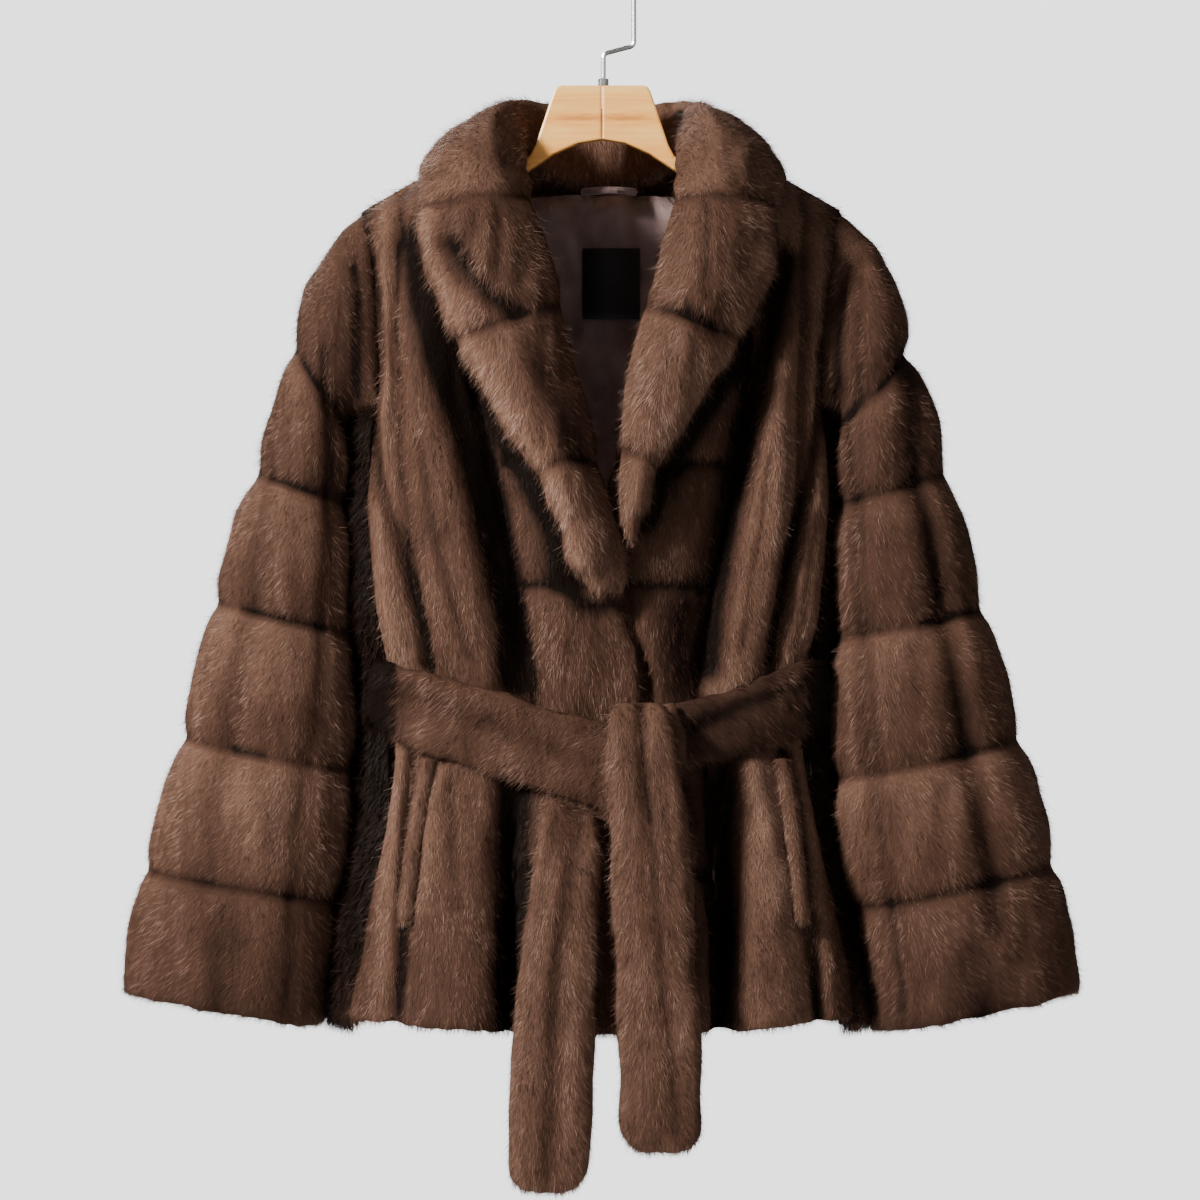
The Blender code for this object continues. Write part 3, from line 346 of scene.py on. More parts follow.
# %% Wood material
wood, tree, shader = start_material("beech", Roughness=0.42, Coat_Weight=0.35,
                                    Coat_Roughness=0.25)
coords = node(tree, "ShaderNodeTexCoord")
split = node(tree, "ShaderNodeSeparateXYZ")
mirror = math_node(tree, "ABSOLUTE")
join = node(tree, "ShaderNodeCombineXYZ")
turn = node(tree, "ShaderNodeMapping", Rotation=(0, math.radians(-32), 0), Scale=(0.1, 1, 1))
fibres = node(tree, "ShaderNodeTexNoise", Scale=520.0, Detail=5.0, Roughness=0.7)
rings = node(tree, "ShaderNodeTexNoise", Scale=110.0, Detail=2.0, Distortion=0.4)
grain = math_node(tree, "MULTIPLY_ADD", 0.45)
colours = ramp(tree, [(0.45, 0.62, 0.21, 0.035), (0.62, 0.95, 0.41, 0.080), (0.9, 1.0, 0.56, 0.15)])
bump = node(tree, "ShaderNodeBump", Strength=0.12, Distance=0.0006)
wire(tree, (coords, "Object", split, 0), (split, "X", mirror, 0), (mirror, 0, join, "X"),
     (split, "Y", join, "Y"), (split, "Z", join, "Z"), (join, 0, turn, "Vector"),
     (turn, "Vector", fibres, "Vector"), (turn, "Vector", rings, "Vector"),
     (fibres, "Fac", grain, 0), (rings, "Fac", grain, 2), (grain, 0, colours, "Fac"),
     (fibres, "Fac", bump, "Height"), (bump, "Normal", shader, "Normal"),
     (colours, "Color", shader, "Base Color"))

# %% Steel material
steel, tree, shader = start_material("polished_wire", Metallic=1.0)
_, scratches = cloudy_colour(tree, shader, [(0.3, 0.50, 0.49, 0.48), (0.7, 0.66, 0.65, 0.64)],
                             Scale=900.0, Detail=3.0)
rough = node(tree, "ShaderNodeMapRange", To_Min=0.16, To_Max=0.34)
wire(tree, (scratches, "Fac", rough, "Value"), (rough, 0, shader, "Roughness"))

# %% [markdown]
# ## From CAD panel to soft cloth
# A CAD panel is a closed wall of flat facets. A copy of it is merged, its
# triangles are paired to quads, and its border edges are creased, so that a
# Subdivision Surface rounds the panel but keeps its outline. Where two pelts meet,
# their edges are welded and the walls inside the seam are taken out. Each face
# still knows its pelt, and that tells where the seams run.

# %% Cloth copies
BORDER_ANGLE = math.radians(48)
MERGE = 0.01 * MM
SEW = 0.9 * MM            # pelts nearer than this are sewn together


def cloth_copy(name, parts, levels, long_edge=None):
    """One object from merged and smoothed copies of CAD nodes; each face knows its pelt."""
    copies = []
    for number, part in enumerate(parts):
        mesh = nodes[part].data.copy()
        mesh.materials.clear()
        pelt = mesh.attributes.new("pelt", "INT", "FACE")
        pelt.data.foreach_set("value", np.full(len(mesh.polygons), number, np.int32))
        copy = add_object(f"{name}_{number}", mesh)
        copy.select_set(True)
        copies.append(copy)
    bpy.context.view_layer.objects.active = copies[0]
    if len(copies) > 1:
        bpy.ops.object.join()
    cloth = copies[0]
    cloth.name = name
    cloth.data.name = name
    bpy.ops.object.mode_set(mode="EDIT")
    bpy.ops.mesh.select_all(action="SELECT")
    bpy.ops.mesh.remove_doubles(threshold=MERGE)
    bpy.ops.mesh.tris_convert_to_quads(face_threshold=math.radians(40),
                                       shape_threshold=math.radians(70))
    bpy.ops.object.mode_set(mode="OBJECT")
    shape = bmesh.new()
    shape.from_mesh(cloth.data)
    if len(parts) > 1:
        sew(shape)
    if long_edge is not None:
        tall = [edge for edge in shape.edges if upright(edge) > long_edge]
        bmesh.ops.subdivide_edges(shape, edges=tall, cuts=1, use_grid_fill=True)
    crease = shape.edges.layers.float.new("crease_edge")
    for edge in shape.edges:
        if len(edge.link_faces) == 2 and edge.calc_face_angle() > BORDER_ANGLE:
            edge[crease] = 1.0
    shape.to_mesh(cloth.data)
    shape.free()
    smooth = cloth.modifiers.new("smooth", "SUBSURF")
    smooth.levels = smooth.render_levels = levels
    bpy.ops.object.modifier_apply(modifier=smooth.name)
    cloth.data.shade_smooth()
    cloth.data.set_sharp_from_angle(angle=BORDER_ANGLE)
    cloth.select_set(False)
    return cloth


# %% Sewing
def sew(shape):
    """Welds the edges of neighbouring pelts and takes out the walls in the seams."""
    bmesh.ops.remove_doubles(shape, verts=shape.verts, dist=SEW)
    pelt = shape.faces.layers.int["pelt"]
    shared = {vert for vert in shape.verts if len({face[pelt] for face in vert.link_faces}) > 1}
    walls = [face for face in shape.faces if all(vert in shared for vert in face.verts)]
    bmesh.ops.delete(shape, geom=walls, context="FACES")
    open_edges = sum(len(edge.link_faces) != 2 for edge in shape.edges)
    print("sewn: walls taken out", len(walls), "edges not closed", open_edges)


def upright(edge):
    """The length of an edge that mostly runs up and down, otherwise 0."""
    run = edge.verts[1].co - edge.verts[0].co
    return run.length if abs(run.z) > 0.7 * run.length else 0.0


# %% Reading a mesh
def unit(vectors):
    return vectors / np.maximum(np.linalg.norm(vectors, axis=-1, keepdims=True), 1e-9)


def beside(vectors, ways):
    """Vectors without the part of them that runs along other directions."""
    return vectors - ways * (vectors * ways).sum(1, keepdims=True)


def read(items, name, width=1, kind=float):
    """One property of all the items of a mesh, as an array."""
    found = np.zeros(len(items) * width, kind)
    items.foreach_get(name, found)
    return found.reshape(-1, width) if width > 1 else found


def vertex_array(mesh):
    return read(mesh.vertices, "co", 3)


def set_vertices(mesh, points):
    mesh.vertices.foreach_set("co", points.ravel())
    mesh.update()


def pelt_of_faces(mesh):
    return read(mesh.attributes["pelt"].data, "value", kind=np.int32)


def by_corner(mesh, face_values):
    """A value of each face, repeated for each of its corners."""
    return np.repeat(face_values, read(mesh.polygons, "loop_total", kind=np.int32))


# %% Rims and seams
def edge_points(mesh, chosen):
    """Points along the chosen edges of a mesh."""
    ends = read(mesh.edges, "vertices", 2, np.int32)[chosen]
    a, b = vertex_array(mesh)[ends].transpose(1, 0, 2)
    return np.concatenate([a + (b - a) * part for part in (0.0, 0.5)])


def rim_points(mesh):
    """Points along the sharp rims of a piece: its hem, cuffs and openings."""
    return edge_points(mesh, read(mesh.attributes["sharp_edge"].data, "value", kind=bool))


def seam_points(mesh):
    """Points along the seams, where two faces of different pelts meet."""
    edges = read(mesh.loops, "edge_index", kind=np.int32)
    pelt = pelt_of_faces(mesh)
    low = np.full(len(mesh.edges), pelt.max() + 1)
    high = np.full(len(mesh.edges), -1)
    np.minimum.at(low, edges, by_corner(mesh, pelt))
    np.maximum.at(high, edges, by_corner(mesh, pelt))
    return edge_points(mesh, low < high)


def nearest(points, targets):
    """Index and distance of the nearest target for each point; far away if there is none."""
    if len(targets) == 0:
        return np.zeros(len(points), np.int32), np.ones(len(points))
    tree = kdtree.KDTree(len(targets))
    for number, target in enumerate(targets):
        tree.insert(target, number)
    tree.balance()
    found = [tree.find(point)[1:] for point in points]
    return np.array([f[0] for f in found]), np.array([f[1] for f in found])


# %% [markdown]
# ## Which side faces out
# Every wall has a fur side and a lining side. A face belongs to the fur side if
# it looks away from a line that runs inside the garment: down the middle of the
# body under the shoulders, or down the middle of a sleeve.

# %% Inside lines
SHOULDER_Z, SHOULDER_SLOPE, NECK_HALF = -142 * MM, 0.445, 62 * MM
UNDER_SHOULDER = 60 * MM


def out_of_body(points):
    x, y, z = points.T
    top = SHOULDER_Z - SHOULDER_SLOPE * np.maximum(np.abs(x) - NECK_HALF, 0)
    return points - np.stack([0.8 * x, 0 * top, np.minimum(z, top - UNDER_SHOULDER)], 1)


def out_of_sleeve(hand):
    boxes = [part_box(f"sleeve_{hand}_{k}") for k in range(1, 7)]
    line = [tuple((low + high) / 2) for low, high in boxes]
    line[0] = (line[0][0] * 0.93, line[0][1], line[0][2])
    line.append((line[-1][0] * 1.06, line[-1][1], line[-1][2] - 80 * MM))
    dense = np.concatenate([np.linspace(a, b, 20) for a, b in zip(line, line[1:])])

    return lambda points: points - dense[nearest(points, dense)[0]]


def out_of_all(points):
    """For pieces with pile on every side."""
    return None


# %% Fur side and lining side
LINED = -0.35       # faces that look further inwards than this are lining


def furred_faces(mesh, outside):
    """True for each face that carries pile."""
    away = outside(read(mesh.polygons, "center", 3))
    if away is None:
        return np.ones(len(mesh.polygons), bool)
    return (read(mesh.polygons, "normal", 3) * unit(away)).sum(1) > LINED


def cover(cloth, furred):
    """The pile's ground on the fur side and satin on the other, if there is one."""
    cloth.data.materials.append(ground)
    if not furred.all():
        cloth.data.materials.append(satin)
        cloth.data.polygons.foreach_set("material_index", (~furred).astype(np.int32))


# %% [markdown]
# ## Soft shapes
# A seam pulls the fur in and the pelt beside it swells. Between the worked
# ridges run creases, from wide valleys to a row where the hair only parts. Each
# is a line through a few places (x, z) in mm, seen from the front, with a half
# width, a depth and how dark it is; a negative depth makes a ridge. The darkness
# is painted shade in the crease; a negative darkness is a painted highlight on a
# ridge. Both the shape and the colour use it. Sleeves get the same creases
# behind as in front.

# %% Creases
# A crease's dark is painted shade; below zero it is a painted highlight on a ridge
Crease = namedtuple("Crease", "line half depth dark")
PARTING = dict(half=3.5, depth=1.6, dark=0.16)


def parting(*line):
    return Crease(line, **PARTING)


# %% Creases of the fronts
FRONT_RIGHT_CREASES = (
    Crease(((-176, -215), (-168, -260), (-166, -300), (-169, -345), (-163, -395), (-149, -440),
            (-138, -490), (-130, -535)), 5, 5, 0.36),
    Crease(((-140, -215), (-131, -265), (-115, -320), (-98, -370), (-88, -410), (-80, -450),
            (-71, -490), (-65, -545)), 12, 7, 0.60),
    Crease(((-66, -590), (-66, -700), (-67, -800)), 12, 5, 0.60),
    # No crease here, only painted shade beside the lapel's outer edge and tip
    Crease(((-115, -293), (-88, -339), (-55, -392), (-35, -433), (-30, -470)), 10, 0, 0.46),
    Crease(((-30, -470), (-14, -489), (6, -487)), 7, 0, 0.32),
    # A raised ridge beside the pocket lip, with a painted highlight
    Crease(((-120, -612), (-128, -660), (-132, -715)), 8, -3, -0.10),
    Crease(((-141, -590), (-147, -650), (-149, -720)), 4, 5, 0.45),
    Crease(((-148, -722), (-150, -790)), 4, 3, 0.28),
    parting((-134, -370), (-126, -430), (-117, -460), (-107, -500), (-99, -525)),
    parting((-158, -420), (-151, -470), (-143, -520)),
    parting((-168, -600), (-166, -660)),
    parting((-112, -620), (-110, -690)),
)
FRONT_LEFT_CREASES = (
    Crease(((183, -215), (173, -255), (165, -300), (163, -345), (152, -395), (141, -440),
            (130, -500), (125, -530)), 5, 5, 0.34),
    Crease(((138, -230), (126, -285), (113, -335), (104, -375), (97, -415), (90, -455),
            (84, -495), (80, -535)), 11, 7, 0.60),
    Crease(((58, -490), (60, -550)), 18, 2, 0.22),
    Crease(((92, -600), (92, -700), (90, -800)), 12, 5, 0.52),
    # No crease here, only painted shade beside the lapel's outer edge
    Crease(((108, -296), (74, -346), (46, -392), (32, -428)), 10, 0, 0.46),
    # A raised ridge beside the pocket lip, with a painted highlight
    Crease(((113, -612), (124, -660), (133, -712)), 11, -4, -0.12),
    Crease(((137, -598), (148, -660), (152, -720)), 4, 5, 0.45),
    Crease(((158, -722), (161, -790)), 4, 3, 0.28),
    parting((125, -380), (118, -430), (110, -470), (104, -520)),
    parting((155, -420), (150, -470), (142, -520)),
)

# %% Creases of the sleeves
SLEEVE_RIGHT_CREASES = (
    # No crease here, only painted shade along the top of the sleeve's inner edge
    Crease(((-186, -235), (-184, -270), (-184, -330)), 4, 0, 0.34),
    Crease(((-246, -300), (-250, -390), (-255, -470), (-267, -520), (-276, -590), (-286, -640),
            (-293, -700)), 9, 3, 0.09),
    Crease(((-280, -725), (-284, -800)), 13, 3, 0.14),
    parting((-207, -300), (-206, -400), (-210, -500), (-217, -590), (-228, -660), (-237, -790)),
)
SLEEVE_LEFT_CREASES = (
    # No crease here, only painted shade along the top of the sleeve's inner edge
    Crease(((186, -235), (179, -270), (176, -330)), 4, 0, 0.30),
    Crease(((229, -300), (233, -390), (246, -450), (257, -520), (268, -570), (276, -620),
            (290, -690), (292, -730)), 8, 5, 0.24),
    Crease(((278, -745), (282, -800)), 13, 3, 0.16),
    parting((192, -245), (193, -350), (198, -430), (201, -520), (206, -600), (215, -700),
            (225, -790)),
)

# %% Creases of collar, belt and back
COLLAR_CREASES = (
    Crease(((-112, -222), (-97, -245), (-82, -262), (-62, -273)), 8, 4, 0.34),
    Crease(((-50, -300), (-34, -340), (-16, -378)), 10, 2, 0.22),
    Crease(((62, -272), (84, -288)), 8, 2, 0.20),
    parting((-78, -195), (-77, -250)),
    parting((-24, -395), (-12, -450)),
    parting((77, -195), (76, -262)),
    # The lapels' outer edges stand up as ridges with a painted highlight
    Crease(((-127, -200), (-120, -239), (-98, -293), (-71, -339), (-38, -392), (-18, -433),
            (-15, -455)), 8, -6, -0.24),
    Crease(((119, -200), (117, -236), (92, -293), (58, -343), (32, -386), (27, -413)),
           8, -6, -0.12),
)
BELT_CREASES = (
    Crease(((-150, -552), (-110, -566), (-60, -584), (-5, -606)), 8, 1, 0.09),
    Crease(((150, -548), (110, -560), (66, -580)), 6, 1.5, 0.14),
)
TAIL_CREASES = (
    Crease(((28, -556), (30, -600), (35, -650)), 3.5, 4, 0.24),
    Crease(((35, -650), (42, -720), (46, -790), (53, -850), (54, -872)), 5, 2, 0.15),
    Crease(((-16, -645), (-27, -700), (-33, -760), (-37, -840), (-39, -905)), 5, 2, 0.18),
)
BACK_SIDE_CREASES = (
    Crease(((76, -200), (78, -400), (72, -560), (86, -790)), 7, 6, 0.40),
    parting((118, -230), (122, -400), (112, -560), (134, -780)),
    parting((37, -230), (38, -560), (42, -790)),
)
BACK_CREASES = (Crease(((0, -220), (0, -560), (0, -790)), 6, 5, 0.34), *BACK_SIDE_CREASES,
                *(crease._replace(line=[(-x, z) for x, z in crease.line])
                  for crease in BACK_SIDE_CREASES))


# %% Nearness to a crease
def line_distance(points, line):
    """Distance of points from a line of places (x, z), seen from the front."""
    place = points[:, (0, 2)]
    best = np.full(len(points), 1.0)
    for start, end in zip(line, line[1:]):
        start = np.array(start) * MM
        step = np.array(end) * MM - start
        part = np.clip((place - start) @ step / (step @ step), 0, 1)[:, None]
        best = np.minimum(best, np.linalg.norm(place - start - part * step, axis=1))
    return best


def crease_sum(points, creases, value):
    """Depth in mm or darkness of the creases, less the ridges, at each point."""
    low, high = np.zeros(len(points)), np.zeros(len(points))
    for crease in creases:
        near = bell(line_distance(points, crease.line), crease.half * MM)
        low = np.minimum(low, near * getattr(crease, value))
        high = np.maximum(high, near * getattr(crease, value))
    return high + low


# %% Shaping a cloth
SWELL_OVER = 17 * MM      # distance from a seam or rim over which a pelt swells
PINCH_OVER = 6.5 * MM     # the same for the pull of a seam
CALM_OVER, RIM_OVER = 8 * MM, 5 * MM     # for waver and creases, which fade out there
DEEPEST = 4 * MM          # the pile is pressed in no further
COMB_LENGTHWAYS = 0.14    # streaks are long, so noise is stretched that way
# Painted shadow along each seam, where the hair of one pelt ends over the next
SEAM_PAINTED_SHADOW = 0.24
SEAM_REACH = 4.5 * MM


def soft_noise(points, size, seed):
    """Smooth noise of about -1 to 1 that changes over a stated size in metres."""
    draw = np.random.default_rng(seed)
    total = np.zeros(len(points))
    for _ in range(7):
        way = draw.normal(size=3)
        way *= draw.uniform(0.6, 1.7) * 2 * math.pi / size / np.linalg.norm(way)
        total += np.sin(points @ way + draw.uniform(0, 2 * math.pi))
    return total / 2.6


LONG_WAYS = np.array((1.0, 1.0, 0.18))      # furrows run down, like the hair
SHOULDER_LIFT = 6.5 * MM


def lift_shoulders(points):
    """The pile stands higher over the shoulder seams."""
    x, y, z = np.abs(points[:, 0]), points[:, 1], points[:, 2]
    over = ease(-x, -0.192, 0.050) * ease(x, 0.100, 0.020)
    high = ease(z, -0.235, 0.045) * bell(y, 0.045)
    points[:, 2] += SHOULDER_LIFT * over * high


def pelt_of_points(mesh):
    """The pelt that each point of a mesh belongs to, one of them where pelts meet."""
    found = np.zeros(len(mesh.vertices), np.int32)
    found[read(mesh.loops, "vertex_index", kind=np.int32)] = by_corner(mesh, pelt_of_faces(mesh))
    return found


def shape_cloth(cloth, furred, outside, pinch, swell, waver, tucked, seed, creases, streaks,
                shade):
    """Moves the cloth and notes each point's painted shade and tone and how it is combed.

    A crease bends the whole wall inwards; seams, swelling and waver are in the
    pile, so they move its side only.
    """
    mesh = cloth.data
    points, out = vertex_array(mesh), read(mesh.vertex_normals, "vector", 3)
    chosen = np.unique(read(mesh.loops, "vertex_index", kind=np.int32)[by_corner(mesh, furred)])
    spots = points[chosen]
    seam = nearest(spots, seam_points(mesh))[1]
    rim = nearest(spots, rim_points(mesh))[1]
    edge = np.minimum(seam, rim)
    inside = 1 - bell(edge, CALM_OVER)
    move = -pinch * bell(seam, PINCH_OVER)
    move += swell * (1 - bell(edge if tucked else seam, SWELL_OVER))
    move += waver * soft_noise(spots, 60 * MM, seed) * inside
    move += 0.8 * waver * soft_noise(spots * LONG_WAYS, 17 * MM, seed + 1) * inside
    painted_shade_and_tone = np.zeros(len(points))
    # Painted shade in the creases, painted highlights on ridges, painted shadow along the seams
    painted_shade_and_tone[chosen] = crease_sum(spots, creases, "dark") + SEAM_PAINTED_SHADOW * bell(seam, SEAM_REACH)
    away = outside(points)
    if away is not None:
        points -= unit(away) * (crease_sum(points, creases, "depth") * MM)[:, None]
        move = np.maximum(move, -DEEPEST)
    else:
        off_rim = 1 - bell(rim, RIM_OVER)
        move -= crease_sum(spots, creases, "depth") * MM * off_rim * (out[chosen, 1] < 0.3)
    points[chosen] += out[chosen] * move[:, None]
    lift_shoulders(points)
    set_vertices(mesh, points)
    # Less the pelt tones and the painted light and shade of each part
    painted_shade_and_tone -= shade(points, pelt_of_points(mesh))
    mesh.attributes.new(PAINTED_SHADE_ATTRIBUTE, "FLOAT", "POINT").data.foreach_set("value", painted_shade_and_tone)
    combed = np.stack([streaks(points), points[:, 1], COMB_LENGTHWAYS * points[:, 2]], 1)
    comb = mesh.attributes.new(COMB_ATTRIBUTE, "FLOAT_VECTOR", "POINT")
    comb.data.foreach_set("vector", combed.astype(np.float32).ravel())


# %% [markdown]
# ## Growing the pile
# Faux fur could be Blender's hair particles, but an exported model needs real
# faces. The pile is short, so each hair is one long thin triangle that ends in a
# point. Roots are drawn at random over the furred faces by area, hairs lean the
# way the pelt was brushed, and neighbours draw their tips together a little. One
# hair in seven is a guard hair, longer, finer and more upright, and paler: partly
# its own silver colour, partly a painted glint. The generator is seeded, so every
# run grows the same jacket.

# %% Roots
def plant(cloth, furred, per_cm2, draw, favour=None):
    """Roots over the furred faces: place, outward direction and pelt number."""
    mesh = cloth.data
    mesh.calc_loop_triangles()
    parts = mesh.loop_triangles
    faces, areas = read(parts, "polygon_index", kind=np.int32), read(parts, "area")
    points = vertex_array(mesh)[read(parts, "vertices", 3, np.int32)]
    outs = read(mesh.corner_normals, "vector", 3)[read(parts, "loops", 3, np.int32)]
    weight = areas * furred[faces]
    if favour is not None:
        weight = weight * favour(unit(outs.mean(1)))
    number = int(round(weight.sum() * 1e4 * per_cm2))
    picked = draw.choice(len(parts), number, p=weight / weight.sum())
    u, v = draw.random(number), draw.random(number)
    over = u + v > 1
    u[over], v[over] = 1 - u[over], 1 - v[over]
    share = np.stack([1 - u - v, u, v], 1)[:, :, None]
    return ((points[picked] * share).sum(1), unit((outs[picked] * share).sum(1)),
            pelt_of_faces(mesh)[faces[picked]])


# %% Blades
ROOT_DEPTH = 0.8 * MM
CLUMP_OF = 8             # hairs to a clump
CLUMP_RADIUS = 3 * MM
CLUMP_PULL = 0.1         # how much of the way a tip goes to the middle one
GUARD_SHARE = 0.15       # long pale hairs that stand out of the pile
GUARD_RISE, GUARD_LENGTH, GUARD_WIDTH = 2.8, 1.35, 0.75     # times those of the others
# Guard hairs are paler, partly their own silver colour and partly a painted glint
GUARD_PALE_AND_GLINT, OTHERS_PALE, TONE_SPREAD = 0.16, -0.03, 0.11
FULL_SPREAD = 0.4        # darker hairs than this differ less
STRAY = 0.07             # how far a hair goes its own way
UV_HALF = 0.012          # half a hair's width on its UV map
TRIM_OVER = 10 * MM      # the pile is shorter within this distance of a seam or hem
HEMS_UNDER = -0.72       # rims lower than this are hems and cuffs


def triangles(name, points):
    """A mesh of loose triangles from their corners."""
    mesh = bpy.data.meshes.new(name)
    corners = len(points) * 3
    mesh.vertices.add(corners)
    mesh.vertices.foreach_set("co", points.astype(np.float32).ravel())
    mesh.loops.add(corners)
    mesh.loops.foreach_set("vertex_index", np.arange(corners, dtype=np.int32))
    mesh.polygons.add(len(points))
    mesh.polygons.foreach_set("loop_start", np.arange(0, corners, 3, dtype=np.int32))
    mesh.update(calc_edges=True)
    return mesh


def grow(name, roots, outs, flow, length, tone, width, draw, lean):
    """A mesh of hairs. flow is the brushed direction, tone runs from dark 0 to light 1."""
    count = len(roots)
    guard = draw.random(count) < GUARD_SHARE
    rise = np.where(guard, GUARD_RISE * lean, lean) * draw.uniform(0.5, 1.5, count)
    rise = np.radians(rise)[:, None]
    along = beside(flow, outs)
    flat = np.linalg.norm(along, axis=1, keepdims=True)
    along = along / np.maximum(flat, 0.25) * np.cos(rise)
    stand = np.maximum(np.sin(rise), 0.35 * np.sqrt(np.clip(1 - flat ** 2, 0, 1)))
    way = unit(along + outs * stand + draw.normal(0, STRAY, (count, 3)))
    length = length * draw.uniform(0.75, 1.15, count) * np.where(guard, GUARD_LENGTH, 1.0)
    length = length[:, None] * (0.45 + 0.55 * ease(flat, 0, 0.5))
    start = roots - outs * ROOT_DEPTH
    tip = start + way * length
    centres = draw.choice(count, max(count // CLUMP_OF, 1), replace=False)
    index, away = nearest(roots, roots[centres])
    tip += (tip[centres[index]] - tip) * (CLUMP_PULL * bell(away, CLUMP_RADIUS))[:, None]
    way = unit(tip - start)
    up = unit(beside(outs, way))
    side = np.cross(way, up)
    twist = draw.uniform(-1.0, 1.0, count)[:, None]
    across = side * np.cos(twist) - up * np.sin(twist)
    half = width * draw.uniform(0.7, 1.3, count) * np.where(guard, GUARD_WIDTH, 1.0)
    half = half[:, None] / 2
    points = np.stack([start - across * half, start + across * half, tip], 1)
    shade = unit(outs + 0.7 * up + 0.35 * side * twist)
    mesh = triangles(name, points)
    tone = tone + ease(tone, 0, FULL_SPREAD) * (draw.normal(0, TONE_SPREAD, count)
                                                + np.where(guard, GUARD_PALE_AND_GLINT, OTHERS_PALE))
    tone = np.clip(tone, 0.03, 0.97)
    root, end = np.full(count, 0.1), np.full(count, 0.98)
    spots = np.stack([tone - UV_HALF, root, tone + UV_HALF, root, tone, end], 1)
    uv = mesh.uv_layers.new(name=BAKE_MAP)
    uv.uv.foreach_set("vector", spots.astype(np.float32).ravel())
    custom = mesh.attributes.new("custom_normal", "FLOAT_VECTOR", "POINT")
    custom.data.foreach_set("vector", np.repeat(shade, 3, 0).astype(np.float32).ravel())
    mesh.materials.append(hair)
    return add_object(name, mesh)


# %% [markdown]
# ## How each part was brushed
# The direction of the hair is what tells one pelt from the next. On the sleeves
# it sweeps out and down from a parting near the body, on the fronts it falls
# nearly straight, and on the lapels it parts along the middle. Each part gets a
# function from place to direction, and one for the streaks of its ground.

# %% Brushing
Brushed = namedtuple("Brushed", "flow streaks")


def down(points):
    flow = np.zeros((len(points), 3))
    flow[:, 2] = -1.0
    return flow


def turned(flow, *sideways):
    """The flow turned sideways by each amount, with length one."""
    for amount in sideways:
        flow[:, 0] += amount
    return unit(flow)


def body_flow(points):
    x, y, z = points.T
    return turned(down(points),
                  0.20 * soft_noise(points, 90 * MM, 11) + 0.12 * soft_noise(points, 26 * MM, 12),
                  np.sign(x) * bell(z - SHOULDER_Z, 70 * MM) * 0.8)


brushed_body = Brushed(body_flow, lambda points: points[:, 0])

# %% Brushing of the sleeves
SLEEVE_PARTING = ((0.195, -0.25), (0.200, -0.36), (0.203, -0.50), (0.211, -0.60), (0.232, -0.80))
SWEEP_OUT = 0.9          # sideways for each step down
SWEEP_IN = 0.5


def brushed_sleeve(hand):
    side = -1 if hand == "right" else 1
    xs = [x for x, z in SLEEVE_PARTING][::-1]
    zs = [z for x, z in SLEEVE_PARTING][::-1]

    def past_parting(points):
        return points[:, 0] * side - np.interp(points[:, 2], zs, xs)

    def flow_of(points):
        past = past_parting(points)
        sweep = np.where(past > 0, 0.3 + (SWEEP_OUT - 0.3) * ease(past, 0, 0.05), -SWEEP_IN)
        return turned(
            down(points), side * sweep,
            0.16 * soft_noise(points, 70 * MM, 21) + 0.10 * soft_noise(points, 22 * MM, 22))

    def streaks(points):
        past = past_parting(points)
        return past + np.where(past > 0, SWEEP_OUT * 0.8, -SWEEP_IN) * points[:, 2]

    return Brushed(flow_of, streaks)


# %% Brushing of the collar
LAPEL_MIDDLE = {          # z from low to high, and x of the parting
    "right": ((-0.477, -0.462, -0.436, -0.397, -0.354, -0.302, -0.250, -0.150),
              (0.002, -0.005, -0.009, -0.024, -0.043, -0.062, -0.080, -0.080)),
    "left": ((-0.438, -0.407, -0.380, -0.343, -0.295, -0.250, -0.150),
             (0.026, 0.029, 0.035, 0.046, 0.066, 0.079, 0.078)),
}


def collar_flow(points):
    flow = down(points)
    x, y, z = points.T
    round_neck = ease(z, -0.200, 0.030)          # 1 above the lapels
    for side, hand in ((-1, "right"), (1, "left")):
        away = np.clip((x - np.interp(z, *LAPEL_MIDDLE[hand])) / 0.035, -1, 1)
        flow[:, 0] += np.where(np.sign(x) == side, 0.75 * away * (1 - round_neck), 0)
    outwards = unit(np.stack([x, y, 0 * z], 1))
    flow += outwards * (0.9 * round_neck)[:, None]
    return turned(flow, 0.18 * soft_noise(points, 50 * MM, 31)
                  + 0.10 * soft_noise(points, 20 * MM, 32))


def collar_streaks(points):
    x, y, z = points.T
    right, left = (np.interp(z, *LAPEL_MIDDLE[hand]) for hand in ("right", "left"))
    return np.abs(x - np.where(x < 0, right, left)) + 0.6 * z


brushed_collar = Brushed(collar_flow, collar_streaks)

# %% Brushing of belt and tails
KNOT_X = 0.046


def belt_flow(points):
    x, y, z = points.T
    return turned(down(points) * 0.75, np.sign(x - KNOT_X) * np.where(y < 0, 0.7, 0.2),
                  0.2 * soft_noise(points, 40 * MM, 41))


def belt_painted_shade(roots, pelt):
    """Painted shade: the belt is dark where it turns to the back."""
    return -0.60 * ease(np.abs(roots[:, 0]), 0.150, 0.010) * (roots[:, 1] < 0.02)


def belt_streaks(points):
    return 0.75 * np.abs(points[:, 0] - KNOT_X) + 0.7 * points[:, 2]


def off_tail_middle(points):
    """How far points are off the middle line of a tail."""
    x, y, z = points.T
    low, high = x[z < np.quantile(z, 0.3)], x[z > np.quantile(z, 0.7)]
    return x - np.interp(z, (z.min(), z.max()), (np.median(low), np.median(high)))


def tail_flow(points):
    return turned(down(points), 0.45 * np.clip(off_tail_middle(points) / 0.03, -1, 1),
                  0.15 * soft_noise(points, 30 * MM, 51))


